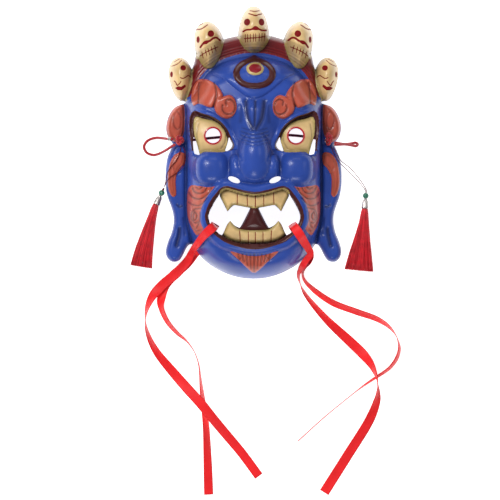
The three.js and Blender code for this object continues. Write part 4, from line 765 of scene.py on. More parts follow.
def plan_net(rims, lines, pitch):
    """Triangles over the mask seen from the front, with the rims and lines as edges."""
    points, edges = [], []
    for run in rims:
        start = len(points)
        points.extend(map(tuple, run))
        edges += [(start + i, start + (i + 1) % len(run)) for i in range(len(run))]

    def clear(p, margin):
        """Which points lie inside the outer rim and outside every hole."""
        free = depth_in(p[:, 0], p[:, 1], rims[0]) > margin
        for hole in rims[1:]:
            free &= depth_in(p[:, 0], p[:, 1], hole) < -margin
        return free

    for run in lines:
        kept = clear(run, LINE_TO_RIM)
        for i in np.flatnonzero(kept):
            if i and kept[i - 1]:
                edges.append((len(points) - 1, len(points)))
            points.append(tuple(run[i]))
    tree = KDTree(len(points))
    for i, (x, y) in enumerate(points):
        tree.insert((x, y, 0), i)
    tree.balance()
    rows = np.arange(-NET_REACH[1], NET_REACH[1], pitch * ROW_PITCH)
    columns = np.arange(-NET_REACH[0], NET_REACH[0], pitch)
    gx, gy = np.meshgrid(columns, rows)
    gx = gx + (np.arange(len(rows)) % 2)[:, None] * pitch / 2
    grid = np.stack([gx.ravel(), gy.ravel()], 1)
    for px, py in grid[clear(grid, pitch * RIM_CLEARANCE)]:
        if tree.find((px, py, 0))[2] > pitch * LINE_CLEARANCE:
            points.append((px, py))
    found = delaunay_2d_cdt([Vector(p) for p in points], edges, [], 0, 1e-5, False)
    flat = np.array([tuple(v) for v in found[0]])
    faces = np.array([face for face in found[2] if len(face) == 3])
    faces = faces[clear(flat[faces].mean(1), 0)]
    used, renamed = np.unique(faces, return_inverse=True)
    return flat[used], renamed.reshape(faces.shape)


class Raster:
    """Heights on a millimetre grid, for what rolls under or lies over the mask."""

    def __init__(self):
        self.x = np.arange(-RASTER_REACH[0], RASTER_REACH[0] + 1, 1.0)
        self.y = np.arange(-RASTER_REACH[1], RASTER_REACH[1], 1.0)
        gx, gy = np.meshgrid(self.x, self.y)
        x, y = gx.ravel(), gy.ravel()
        d = depths(x, y)
        z = np.where(d["silhouette"] > -0.01, moulded_height(x, y, d), 0)
        self.top = z.reshape(gx.shape)
        self.hole = np.zeros(gx.shape, bool)
        for run in openings():
            self.hole |= (depth_in(x, y, run) > 0).reshape(gx.shape)
        self.under = self.rolled(self.top, WALL)
        solid = np.where(self.hole, 0, self.top)
        self.over = self.spread(solid, OVER_REACH)

    def around(self, field, reach):
        size = int(reach)
        for i in range(-size, size + 1):
            for j in range(-size, size + 1):
                if i * i + j * j <= reach * reach:
                    yield np.roll(np.roll(field, i, 0), j, 1), math.hypot(i, j)

    def rolled(self, field, radius):
        return np.min([near - math.sqrt(radius ** 2 - r * r) for near, r in self.around(field, radius)], 0)

    def spread(self, field, reach):
        return np.max([near for near, _ in self.around(field, reach)], 0)

    def at(self, field, x, y):
        u = np.clip(np.asarray(x) - self.x[0], 0, len(self.x) - 1.001)
        v = np.clip(np.asarray(y) - self.y[0], 0, len(self.y) - 1.001)
        i, j = np.floor(u).astype(int), np.floor(v).astype(int)
        fu, fv = u - i, v - j
        low = field[j, i] * (1 - fu) + field[j, i + 1] * fu
        high = field[j + 1, i] * (1 - fu) + field[j + 1, i + 1] * fu
        return low * (1 - fv) + high * fv


raster = Raster()


def feature_lines(pitch):
    """Runs that the fine mesh follows."""
    lines = []

    def follow(run, insets, mirror):
        for distance in insets:
            line = even(inset(run, distance) if distance else run, pitch)
            line = np.concatenate([line, line[:1]])
            lines.append(line)
            if mirror:
                lines.append(line * [-1, 1])

    for name in HALVES:
        if name != "plate":
            follow(OUTLINES[name], LINE_INSETS, False)
    for name in SIDES:
        follow(OUTLINES[name], LINE_INSETS, True)
    follow(ellipse(*NOSE_BALL[:4]), LINE_INSETS, False)
    for ball in (CHEEK_BALL, NOSE_WING):
        follow(ellipse(*ball[:4]), LINE_INSETS, True)
    follow(ellipse(PUPIL[0], PUPIL[1], RED_RING_LINE, RED_RING_LINE), (0,), True)
    follow(RIM, RIM_INSETS, False)
    for run, *_, both in groove_runs() + stroke_runs():
        line = even(run, pitch, False)
        lines += [line, line * [-1, 1]] if both else [line]
    return lines


def back_height(x, y):
    away = np.hypot(np.abs(x) - RIM_RELIEF["x"], y - RIM_RELIEF["y"]) / RIM_RELIEF["reach"]
    relief = RIM_RELIEF["height"] * smooth_step(2 - 2 * away)
    return np.maximum(raster.at(raster.under, x, y), relief)


def border_edges(faces):
    """Edges with a face on one side only, in the order in which that face runs."""
    seen = {}
    for a, b, c in faces.tolist():
        for p, q in ((a, b), (b, c), (c, a)):
            if (q, p) in seen:
                del seen[(q, p)]
            else:
                seen[(p, q)] = True
    return list(seen)


def deselect():
    for o in bpy.context.selected_objects:
        o.select_set(False)


def placed(name, mesh):
    o = bpy.data.objects.new(name, mesh)
    bpy.context.collection.objects.link(o)
    deselect()
    bpy.context.view_layer.objects.active = o
    o.select_set(True)
    return o


def point_attribute(mesh, name, values):
    attribute = mesh.attributes.new(name, "FLOAT", "POINT")
    attribute.data.foreach_set("value", np.array(values, np.float32))


def smooth(mesh):
    mesh.polygons.foreach_set("use_smooth", [True] * len(mesh.polygons))
    mesh.update()


def mask_mesh(pitch):
    """Front and back of the moulding over two nets that share every rim."""
    rims = [even(RIM, pitch)] + [even(run, pitch * HOLE_PITCH) for run in openings()]
    flat, faces = plan_net(rims, feature_lines(pitch), pitch)
    back_flat, back_faces = plan_net(rims, [], pitch * BACK_PITCH)
    x, y = flat[:, 0], flat[:, 1]
    d = depths(x, y)
    cut, shade = cut_grooves(x, y, d)
    z = moulded_height(x, y, d) - cut
    back_z = back_height(back_flat[:, 0], back_flat[:, 1])
    points = np.concatenate([np.column_stack([flat, z]), np.column_stack([back_flat, back_z])])
    key = {tuple(np.round(p, 3)): i + len(flat) for i, p in enumerate(back_flat)}
    all_faces = faces.tolist() + (back_faces[:, ::-1] + len(flat)).tolist()
    for a, b in border_edges(faces):
        behind_a, behind_b = key[tuple(np.round(flat[a], 3))], key[tuple(np.round(flat[b], 3))]
        all_faces += [(b, a, behind_a), (b, behind_a, behind_b)]
    mesh = bpy.data.meshes.new("mask")
    mesh.from_pydata((points * MM).tolist(), [], all_faces)
    layers = paint_depths(x, y, d)
    # Painted shade for the material: darkening along the grooves and in the hollows
    layers["groove"] = shade
    layers["hollow"] = hollow_share(x, y)
    for name, values in layers.items():
        rest = 0 if name in ("groove", "hollow") else -NEAR
        point_attribute(mesh, name, np.concatenate([values, np.full(len(back_flat), rest)]))
    point_attribute(mesh, "inside", np.repeat([0.0, 1.0], [len(flat), len(back_flat)]))
    smooth(mesh)
    return mesh


def hollow_share(x, y):
    """How far a point lies below its surroundings, for shade gathered in the creases."""
    field = raster.top
    wide = np.mean([near for near, _ in raster.around(field, CREASE_REACH)], 0)
    return np.clip((raster.at(wide, x, y) - raster.at(field, x, y)) / CREASE_DEPTH, 0, 1)


# Materials

class Nodes:
    """Node tree of a new material, with short ways to add and join nodes."""

    def __init__(self, name):
        self.material = bpy.data.materials.new(name)
        self.material.use_nodes = True
        self.tree = self.material.node_tree
        self.shader = self.tree.nodes["Principled BSDF"]

    def add(self, kind, values=(), **properties):
        node = self.tree.nodes.new("ShaderNode" + kind)
        for key, value in properties.items():
            setattr(node, key, value)
        for key, value in dict(values).items():
            self.put(node, key, value)
        return node

    def put(self, node, key, value):
        if isinstance(value, bpy.types.NodeSocket):
            self.tree.links.new(value, node.inputs[key])
        else:
            node.inputs[key].default_value = value

    def math(self, operation, a, b=0.0):
        return self.add("Math", {0: a, 1: b}, operation=operation).outputs[0]

    def times(self, a, b):
        return self.math("MULTIPLY", a, b)

    def plus(self, a, b):
        return self.math("ADD", a, b)

    def most(self, a, b):
        return self.math("MAXIMUM", a, b)

    def wave(self, value, turns=1.0):
        return self.math("SINE", self.times(value, 2 * math.pi * turns))

    def mix(self, share, a, b, blend="MIX"):
        node = self.add("Mix", data_type="RGBA", blend_type=blend)
        self.put(node, 0, share)
        self.put(node, 6, a)
        self.put(node, 7, b)
        return node.outputs[2]

    def position(self):
        return self.add("TexCoord").outputs["Object"]

    def own_uv(self):
        """The piece's own UV, and its two parts."""
        uv = self.add("UVMap", uv_map="UVMap").outputs["UV"]
        split = self.add("SeparateXYZ", {0: uv})
        return uv, split.outputs[0], split.outputs[1]

    def noise(self, scale, detail=2.0, vector=None, distortion=0.0):
        values = {"Vector": vector or self.position(), "Scale": scale, "Detail": detail,
                  "Distortion": distortion}
        return self.add("TexNoise", values).outputs["Fac"]

    def remap(self, value, low, high, to_low=0.0, to_high=1.0, smoothly=False):
        node = self.add("MapRange", {0: value, 1: low, 2: high, 3: to_low, 4: to_high})
        node.interpolation_type = "SMOOTHSTEP" if smoothly else "LINEAR"
        return node.outputs[0]

    def attribute(self, name):
        return self.add("Attribute", attribute_name=name).outputs["Fac"]

    def bump(self, height, distance, strength=1.0, before=None):
        node = self.add("Bump", {"Height": height, "Distance": distance, "Strength": strength})
        if before:
            self.put(node, "Normal", before)
        return node.outputs["Normal"]

    def finish(self, colour, roughness, normal=None, **constants):
        self.put(self.shader, "Base Color", colour)
        self.put(self.shader, "Roughness", roughness)
        if normal:
            self.put(self.shader, "Normal", normal)
        for key, value in constants.items():
            self.shader.inputs[key.replace("_", " ")].default_value = value
        return self.material


def rgba(colour, gain=1.0):
    return (*[min(c * gain, 1) for c in colour], 1)


def paint_layers(n, colour):
    """The paints one over the other, each with an edge that wanders off the relief."""
    paint = settings().mask_paint
    wobble = n.times(n.math("SUBTRACT", n.noise(420, 2), 0.5), 0.9)
    steady = n.times(wobble, 0.3)
    fine = n.noise(95, 4)
    layers = {"band": paint.band, "brown": paint.brown, "cream": paint.cream, "orange": paint.orange,
              "stroke": paint.band, "pupil": paint.pupil, "halo": paint.halo, "red": paint.red}
    for name, dye in layers.items():
        depth = n.attribute(name)
        painted = n.mix(n.remap(fine, 0.3, 0.7), rgba(dye, 0.84), rgba(dye, 1.12))
        # The cream turns olive towards its edges: painted shade where the forms round away
        if name == "cream":
            painted = n.mix(n.remap(depth, 0.0, 3.8), rgba(paint.olive_shade), painted)
        if name == "halo":
            share = n.times(n.remap(depth, -0.6, 0.9, smoothly=True), 0.55)
        else:
            edge = n.plus(depth, steady if name in ("stroke", "red") else wobble)
            share = n.remap(edge, -0.16, 0.16, smoothly=True)
        colour = n.mix(share, colour, painted)
    return colour


def painted_plastic():
    """Glossy paint on plastic, matt where a brush drew the strokes."""
    paint = settings().mask_paint
    n = Nodes("painted_plastic")
    blue = n.mix(n.remap(n.noise(26, 3), 0.35, 0.7), rgba(paint.blue, 0.88), rgba(paint.blue, 1.15))
    # Painted shade: the crease colour darkens the grooves and hollows
    crease = n.most(n.times(n.attribute("groove"), 0.7), n.times(n.attribute("hollow"), 0.5))
    colour = n.mix(crease, paint_layers(n, blue), rgba(paint.crease))
    plain = n.attribute("inside")
    colour = n.mix(plain, colour, rgba(paint.blue, 0.8))
    matt = n.remap(n.attribute("stroke"), -0.3, 0.2)
    gloss = n.most(n.remap(n.noise(60, 3), 0.3, 0.7, 0.27, 0.36), n.times(plain, 0.42))
    n.put(n.shader, "Coat Weight", n.remap(matt, 0, 1, 0.2, 0.0))
    n.put(n.shader, "Specular IOR Level", n.remap(matt, 0, 1, 0.2, 0.03))
    skin = n.bump(n.noise(900, 2), 0.00004, 0.35)
    normal = n.bump(n.noise(70, 2), 0.0005, 0.35, skin)
    return n.finish(colour, n.most(gloss, n.times(matt, 0.7)), normal, Coat_Roughness=0.12)


def braided_cord():
    """Two crossing sets of diagonal strands."""
    dye = settings().cord_sizes.crimson
    n = Nodes("braided_cord")
    _, along, across = n.own_uv()
    strands = [n.wave(n.plus(n.times(along, 1.3), n.times(across, turn * 4))) for turn in (-1, 1)]
    weave = n.times(*strands)
    # Darker in the dips of the weave and lighter on its crests: painted shade and painted light over the
    # strands
    colour = n.mix(n.remap(weave, -1, 1), rgba(dye, 0.45), rgba(dye, 1.2))
    colour = n.mix(n.remap(n.noise(700, 2), 0.45, 0.75), colour, rgba(dye, 0.6))
    return n.finish(colour, 0.55, n.bump(weave, 0.00022), Sheen_Weight=0.35, Sheen_Roughness=0.4)


def twisted_thread():
    dye = settings().cord_sizes.crimson
    n = Nodes("twisted_thread")
    _, along, across = n.own_uv()
    turn = n.wave(n.plus(n.times(along, 0.9), across), 2)
    # Darker in the grooves of the twist and lighter on its ridges: painted shade and painted light
    colour = n.mix(n.remap(turn, -1, 1), rgba(dye, 0.12), rgba(dye, 0.32))
    return n.finish(colour, 0.6, n.bump(turn, 0.00008), Specular_IOR_Level=0.2)


def fringe_thread():
    dye = settings().cord_sizes.crimson
    n = Nodes("fringe_thread")
    strand = n.attribute("strand")
    colour = n.mix(strand, rgba(dye, 0.8), rgba(dye, 1.4))
    colour = n.mix(n.remap(n.noise(180, 2), 0.4, 0.8), colour, rgba(dye, 0.8))
    fuzz = n.bump(n.noise(2600, 2), 0.00004)
    return n.finish(colour, n.remap(strand, 0, 1, 0.34, 0.5), fuzz, Anisotropic=0.5)


def satin():
    """Fine weave between two selvedges."""
    dye = settings().ribbon_sizes.red
    n = Nodes("satin")
    uv, along, across = n.own_uv()
    weave = n.plus(n.times(n.wave(along, 2.2), 0.5), n.times(n.wave(across, 24), 0.5))
    selvedge = n.remap(n.math("ABSOLUTE", n.math("SUBTRACT", across, 0.5)), 0.43, 0.465)
    # Darker in the dips of the weave and lighter on its ribs: painted shade and painted light
    colour = n.mix(n.remap(weave, -1, 1), rgba(dye, 0.86), rgba(dye, 1.1))
    colour = n.mix(n.remap(n.noise(45, 3), 0.35, 0.7), colour, rgba(dye, 0.82))
    colour = n.mix(n.times(selvedge, 0.4), colour, rgba(dye, 0.5))
    roughness = n.remap(n.noise(300, 2, uv), 0.3, 0.7, 0.3, 0.42)
    relief = n.bump(n.plus(n.times(weave, 0.3), selvedge), 0.00006)
    return n.finish(colour, roughness, relief, Anisotropic=0.55, Specular_IOR_Level=0.14)


def green_glass():
    n = Nodes("green_glass")
    swirl = n.noise(520, 4, distortion=1.6)
    colour = n.mix(n.remap(swirl, 0.35, 0.7), (0.006, 0.085, 0.045, 1), (0.03, 0.26, 0.16, 1))
    roughness = n.remap(swirl, 0.3, 0.7, 0.1, 0.22)
    return n.finish(colour, roughness, n.bump(swirl, 0.00005), Coat_Weight=0.6)


def engraved_silver():
    n = Nodes("engraved_silver")
    grime = n.most(n.attribute("engraved"), n.remap(n.noise(500, 4), 0.52, 0.8, 0, 0.5))
    colour = n.mix(grime, (0.56, 0.52, 0.50, 1), (0.11, 0.09, 0.09, 1))
    roughness = n.remap(n.noise(900, 3), 0.3, 0.7, 0.2, 0.38)
    return n.finish(colour, roughness, n.bump(n.noise(1400, 2), 0.00005), Metallic=1.0)


def pale_floor():
    n = Nodes("pale_floor")
    grain = n.noise(3, 2)
    colour = n.mix(n.remap(grain, 0.3, 0.7), (0.86, 0.86, 0.86, 1), (0.88, 0.88, 0.88, 1))
    return n.finish(colour, 0.9, Emission_Color=(1.0, 0.995, 0.985, 1), Emission_Strength=0.93)


# Cords

def control_frames(points, count):
    """Centripetal Catmull-Rom run through the points, and how many points lie behind each place."""
    p = np.array(points, float)
    around = np.concatenate([[2 * p[0] - p[1]], p, [2 * p[-1] - p[-2]]])
    places, index = [], []
    for i in range(len(p) - 1):
        a, b, c, d = around[i:i + 4]
        t0, t1, t2 = (max(np.linalg.norm(v) ** 0.5, 1e-4) for v in (b - a, c - b, d - c))
        leave = ((b - a) / t0 - (c - a) / (t0 + t1) + (c - b) / t1) * t1
        reach = ((c - b) / t1 - (d - b) / (t1 + t2) + (d - c) / t2) * t1
        t = np.arange(count)[:, None] / count
        places.append(b + leave * t + (-3 * b + 3 * c - 2 * leave - reach) * t ** 2
                      + (2 * b - 2 * c + leave + reach) * t ** 3)
        index.append(i + t[:, 0])
    return np.concatenate([*places, p[-1:]]), np.concatenate([*index, [len(p) - 1]])


def paced_way(points, pitch):
    places, index = control_frames(points, FINE_STEPS)
    steps = np.linalg.norm(np.diff(places, axis=0), axis=1)
    at = np.concatenate([[0], np.cumsum(steps)])
    s = np.linspace(0, at[-1], max(int(at[-1] / pitch), 8) + 1)
    way = np.stack([np.interp(s, at, places[:, k]) for k in range(3)], 1)
    return way, np.interp(s, at, index), s


def units(rows):
    return rows / np.maximum(np.linalg.norm(rows, axis=1), 1e-12)[:, None]


def tube_faces(count, sides, closed=False, start=0):
    """Faces between rings of points, with both ends closed unless the rings meet."""
    faces = []
    for i in range(count if closed else count - 1):
        here, ahead = start + i * sides, start + (i + 1) % count * sides
        for k in range(sides):
            m = (k + 1) % sides
            faces.append((here + k, here + m, ahead + m, ahead + k))
    if not closed:
        faces += [tuple(start + ring * sides + k for k in range(sides))[::order]
                  for ring, order in ((0, -1), (count - 1, 1))]
    return faces


def tube_mesh(name, rings, along, edges, closed=False):
    """Tube through rings of points, with its own UV: along, and the edges of each side across."""
    count, sides = rings.shape[:2]
    uvs = []
    for i in range(count if closed else count - 1):
        for low, high in edges:
            uvs += [(along[i], low), (along[i], high), (along[i + 1], high), (along[i + 1], low)]
    if not closed:
        uvs += [(along[ring], 0.5) for ring in (0, count - 1) for _ in range(sides)]
    mesh = bpy.data.meshes.new(name)
    mesh.from_pydata((rings.reshape(-1, 3) * MM).tolist(), [], tube_faces(count, sides, closed))
    layer = mesh.uv_layers.new(name="UVMap")
    layer.data.foreach_set("uv", np.array(uvs, np.float32).ravel())
    smooth(mesh)
    return mesh


def swept(name, way, radius, sides, closed=False):
    """Tube along a way: its UV runs along in diameters and round from 0 to 1."""
    way = np.asarray(way, float)
    count = len(way)
    tangents = units(np.roll(way, -1, 0) - np.roll(way, 1, 0) if closed else np.gradient(way, axis=0))
    side = np.cross(tangents[0], ASKEW)
    frames = []
    for t in tangents:
        side = side - t * np.dot(side, t)
        side /= np.linalg.norm(side)
        frames.append((side.copy(), np.cross(t, side)))
    if closed:
        twist = math.atan2(np.dot(frames[0][0], frames[-1][1]), np.dot(frames[0][0], frames[-1][0]))
        for i, (u, v) in enumerate(frames):
            a = twist * i / (count - 1)
            frames[i] = (u * math.cos(a) + v * math.sin(a), v * math.cos(a) - u * math.sin(a))
    angles = 2 * math.pi * np.arange(sides) / sides
    rings = np.array([[middle + radius * (math.cos(a) * u + math.sin(a) * v) for a in angles]
                      for middle, (u, v) in zip(way, frames)])
    along = np.concatenate([[0], np.cumsum(np.linalg.norm(np.diff(way, axis=0), axis=1))]) / (2 * radius)
    along = np.append(along, along[-1] + along[1])
    return tube_mesh(name, rings, along, [(k / sides, (k + 1) / sides) for k in range(sides)], closed)


def dress(o, material, slot, *nodes):
    """Finish of a piece that rides on the mask's body in place of its CAD nodes."""
    o.data.materials.append(material)
    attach(o, "root")
    if nodes:
        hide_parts(*nodes)
    return o


def dressed(name, mesh, material, slot, *nodes):
    return dress(placed(name, mesh), material, slot, *nodes)


def over_mask(x, y, lift):
    return float(raster.at(raster.over, x, y)) + lift


def stepped(start, towards, distance):
    way = np.array(towards, float)
    return np.array(start, float) + way / np.linalg.norm(way) * distance


def thread_way(tassel):
    """Down one strand, through bead and cap, round in the fringe's head, and back."""
    side = np.array([-tassel["towards"][1], tassel["towards"][0], 0])
    side = side / np.linalg.norm(side) * THREAD["spread"]
    reach = BEAD["radius"]
    marks = (-(reach + THREAD["above_bead"]), 0, reach + THREAD["under_bead"],
             reach + CAP["length"] - THREAD["in_cap"])
    strands = [[stepped(tassel["bead"], tassel["towards"], mark) + sign * side for mark in marks]
               for sign in (1, -1)]
    head, _ = control_frames([row[:3] for row in tassel["fringe"]], FINE_STEPS)
    at = np.concatenate([[0], np.cumsum(np.linalg.norm(np.diff(head, axis=0), axis=1))])
    turn = head[np.searchsorted(at, THREAD["turn"] * at[-1])]
    near_drop = tassel["drop"]
    far_drop = tuple(np.array(near_drop) - THREAD["far_drop"])
    near, far = ([(px, py, over_mask(px, py, 1)) for px, py in tassel[run]] for run in ("near", "far"))
    return [*near, near_drop, *strands[0], turn, *strands[1][::-1], far_drop, *far[::-1]]


def cord_piece(name, points, diameter, material, slot, nodes, sides=12):
    way, _, _ = paced_way(points, max(diameter * 0.45, 0.5))
    way[:, 2] = np.maximum(way[:, 2], diameter / 2 + 0.05)
    piece = dressed(name, swept(name, way, diameter / 2, sides), material, slot, *nodes)
    return piece, way


def turned(name, profile, steps):
    """A body spun from a closed profile of radius and height about the upright axis."""
    mesh = bpy.data.meshes.new(name)
    count = len(profile)
    mesh.from_pydata([(r, 0, h) for r, h in profile], [(i, (i + 1) % count) for i in range(count)], [])
    o = placed(name, mesh)
    bpy.ops.object.mode_set(mode="EDIT")
    bpy.ops.mesh.select_all(action="SELECT")
    bpy.ops.mesh.spin(steps=steps, angle=2 * math.pi, center=(0, 0, 0), axis=(0, 0, 1))
    bpy.ops.mesh.select_all(action="SELECT")
    bpy.ops.mesh.remove_doubles(threshold=1e-4)
    bpy.ops.mesh.normals_make_consistent(inside=False)
    bpy.ops.object.mode_set(mode="OBJECT")
    return o


def set_down(o, start, towards):
    """Puts a body spun in millimetres at its place, in its mesh."""
    spin = Vector((0, 0, 1)).rotation_difference(Vector(towards).normalized()).to_matrix().to_4x4()
    o.data.transform(Matrix.Scale(MM, 4) @ Matrix.Translation(Vector(start)) @ spin)
    smooth(o.data)
    return o


def make_bead(side, tassel, material):
    reach = math.sqrt(BEAD["radius"] ** 2 - BEAD["bore"] ** 2)
    angles = np.linspace(-math.asin(reach / BEAD["radius"]), math.asin(reach / BEAD["radius"]), 15)
    profile = [(BEAD["radius"] * math.cos(a), BEAD["radius"] * math.sin(a)) for a in angles]
    profile = [(BEAD["bore"], -reach + 0.1), *profile, (BEAD["bore"], reach - 0.1)]
    o = set_down(turned(f"glass_bead_{side}", profile, ROUND_TURNS), tassel["bead"], tassel["towards"])
    return dress(o, material, "green_bead", f"tassel_bead_{side}")


def make_cap(side, tassel, material):
    """Bell cap with petals engraved between two beaded rings."""
    top, end, length, wall = CAP["top"], CAP["end"], CAP["length"], CAP["wall"]
    outer = [(BEAD["bore"], 0), (top - 0.5, 0), (top - 0.1, 0.35), (top, CAP["shoulder"]), (top - 0.25, 1.4)]
    for t in np.linspace(0.16, 0.86, 22):
        outer.append((top + (end - top) * (t ** CAP["flare"]), t * length))
    outer += [(end - 0.25, length * 0.89), (end, length * 0.92), (end, length - 0.3), (end - 0.2, length)]
    inner = [(end - wall, length), (end - wall, length - 1), ((top + end) / 2 - wall, length * 0.45),
             (top - wall + 0.2, CAP["shoulder"] + wall), (BEAD["bore"], wall)]
    o = turned(f"bell_cap_{side}", outer + inner, CAP["turns"])
    engrave(o.data)
    set_down(o, stepped(tassel["bead"], tassel["towards"], BEAD["radius"] + 0.3), tassel["towards"])
    return dress(o, material, "silver_metal", f"tassel_cap_{side}")


def engrave(mesh):
    """Petals with a vein each, cut into the outer skin of the cap."""
    cut = ENGRAVING
    engraved = np.zeros(len(mesh.vertices))
    for i, v in enumerate(mesh.vertices):
        radius, turn, h = math.hypot(v.co.x, v.co.y), math.atan2(v.co.y, v.co.x), v.co.z / CAP["length"]
        skin = CAP["top"] + (CAP["end"] - CAP["top"]) * max(h, 0.01) ** CAP["flare"]
        if cut["low"] < h < cut["high"] and radius > skin - cut["skin"]:
            round_petal = abs(math.sin(cut["petals"] * turn + cut["turn"]))
            petal = round_petal * cut["width"] - abs(h - 0.5) * cut["taper"]
            rim = math.exp(-(petal / cut["rim"]) ** 2)
            vein = math.exp(-((round_petal - 1) / cut["vein"]) ** 2) * (petal > 0)
            engraved[i] = max(rim, cut["vein_depth"] * vein)
            scale = 1 - cut["deep"] * engraved[i] / radius
            v.co.x *= scale
            v.co.y *= scale
    point_attribute(mesh, "engraved", engraved)


def make_fringe(side, tassel, material):
    """Loose threads that fan out from the cap to a straight cut."""
    sizes = settings().cord_sizes
    random = np.random.default_rng(FRINGE["seeds"][side])
    sections = np.array(tassel["fringe"], float)
    places, index = control_frames(sections[:, :3], FRINGE["steps"])
    rx, ry = (np.interp(index, range(len(sections)), sections[:, k]) for k in (3, 4))
    way = units(np.gradient(places, axis=0))
    across = units(np.stack([-way[:, 1], way[:, 0], np.zeros(len(way))], 1))
    up = np.cross(way, across)
    picked = np.linspace(0, len(places) - 1, FRINGE["rings"]).astype(int)
    half = sizes.strand / MM / 2
    verts, faces, tone = [], [], []
    for _ in range(sizes.strands):
        a = random.uniform(0, 2 * math.pi)
        s = math.sqrt(random.uniform(FRINGE["middle"], 1)) * FRINGE["fill"]
        wave, phase = random.uniform(0, FRINGE["wave"]), random.uniform(0, 6)
        short = random.uniform(FRINGE["shortest"], 1.0)
        shade = random.uniform(0, 1)
        faces += tube_faces(len(picked), 4, start=len(verts))
        for k, i in enumerate(picked):
            drift = wave * math.sin(phase + k * FRINGE["wave_step"]) * k / (len(picked) - 1)
            p = places[i] + across[i] * (s * rx[i] * math.cos(a) + drift) + up[i] * s * ry[i] * math.sin(a)
            if i == picked[-1]:
                p = p - way[i] * (1 - short) * FRINGE["cut"]
            p[2] = max(p[2], half + FRINGE["off_floor"])
            verts += [p + half * (c * across[i] + f * up[i]) for c, f in ((1, 0), (0, 1), (-1, 0), (0, -1))]
        tone += [shade] * 4 * len(picked)
    mesh = bpy.data.meshes.new(f"fringe_{side}")
    mesh.from_pydata((np.array(verts) * MM).tolist(), [], faces)
    point_attribute(mesh, "strand", tone)
    smooth(mesh)
    return dressed(f"thread_fringe_{side}", mesh, material, "red_cord", f"tassel_fringe_{side}")


def knot_way(low, high, radius):
    """Trefoil of cord that fills a knot's box."""
    middle, half = (low + high) / 2, (high - low) / 2 - radius
    t = np.linspace(0, 2 * math.pi, 120, endpoint=False)
    x, y, z = (2 + np.cos(3 * t)) * np.cos(2 * t) / 3, (2 + np.cos(3 * t)) * np.sin(2 * t) / 3, np.sin(3 * t)
    return middle + np.stack([x * half[0], y * half[1], z * half[2]], 1)


def ribbon_frames(way, s, lean):
    """Directions across the ribbon and out of it, leaning from level at each ring."""
    along = units(np.gradient(way, axis=0))
    span = HEADING_SPAN * s[-1]
    ahead = np.stack([np.interp(np.clip(s + span, 0, s[-1]), s, way[:, k])
                      - np.interp(np.clip(s - span, 0, s[-1]), s, way[:, k]) for k in range(2)], 1)
    level = units(np.stack([-ahead[:, 1], ahead[:, 0], np.zeros(len(s))], 1))
    cos, sin = np.cos(lean)[:, None], np.sin(lean)[:, None]
    kept = np.sum(along * level, 1)[:, None] * (1 - cos)
    across = level * cos + np.cross(along, level) * sin + along * kept
    return across, units(np.cross(along, across))


def lift_clear(rings, over):
    """Raises rings off the floor and, where they lie over the mask, off the mask."""
    above_mask = raster.at(raster.over, rings[:, :, 0], rings[:, :, 1]) + LIFT["over_mask"] - rings[:, :, 2]
    room = np.where(over > LIFT["from"], above_mask.max(1), 0)
    room = np.maximum(room, LIFT["off_floor"] - rings[:, :, 2].min(1))
    reach = LIFT["reach"]
    padded = np.pad(np.maximum(room, 0), reach, mode="edge")
    width = 2 * reach + 1
    lift = np.max([padded[k:k + len(room)] for k in range(width)], 0)
    lift = np.convolve(np.pad(lift, reach, mode="edge"), np.ones(width) / width, "valid")
    rings[:, :, 2] += np.maximum(lift, room)[:, None]


def ribbon_mesh(name, listed, thickness):
    """Satin band: rings across its way, leaning where the ribbon turns on its edge."""
    points = [(x, y, over_mask(x, y, 1) if z is None else z) for x, y, z, _, _ in listed]
    lies = [1.0 if row[2] is None else 0.0 for row in listed]
    way, index, s = paced_way(points, SATIN["pitch"])
    lean, width, over = (np.interp(index, range(len(listed)), column) for column in
                         ([row[3] for row in listed], [row[4] for row in listed], lies))
    across, out = ribbon_frames(way, s, np.radians(lean))
    columns = np.linspace(-0.5, 0.5, SATIN["columns"])
    ripple = SATIN["ripple"] * np.sin(s / SATIN["ripple_length"]) * np.minimum(s, s[-1] - s) / s[-1]
    edge = thickness / 2 * (1 + SATIN["selvedge_gain"] * (np.abs(columns) > SATIN["selvedge"]))
    hollow = SATIN["cup"] * (4 * columns ** 2 - SATIN["cup_middle"])
    rings = []
    for i in range(len(s)):
        cup = hollow + ripple[i] * np.sin(columns * SATIN["ripple_across"])
        flat = way[i] + np.outer(columns * width[i], across[i])
        low, top = (flat + np.outer(cup + side * edge, out[i]) for side in (-1, 1))
        rings.append(np.concatenate([low, top[::-1]]))
    rings = np.array(rings)
    lift_clear(rings, over)
    cross = np.concatenate([columns, columns[::-1]]) + 0.5
    return tube_mesh(name, rings, s, list(zip(cross, np.roll(cross, -1)))), rings.mean(1)


# Operators

class MASK_OT_camera(bpy.types.Operator):
    """Put the camera straight over the mask"""
    bl_idname = "mask.camera"
    bl_label = "Camera"

    def execute(self, context):
        stage = context.scene.stage_sizes
        camera = bpy.data.cameras.new("camera")
        camera.sensor_width = SENSOR
        camera.lens = SENSOR * stage.distance / stage.view
        camera.clip_end = 20
        o = bpy.data.objects.new("camera", camera)
        lean = math.radians(stage.tilt)
        x, y, z = SEEN_MIDDLE
        o.location = (x - stage.distance * math.sin(lean), y, z + stage.distance * math.cos(lean))
        o.rotation_euler = (0, -lean, 0)
        context.collection.objects.link(o)
        context.scene.camera = o
        return {"FINISHED"}


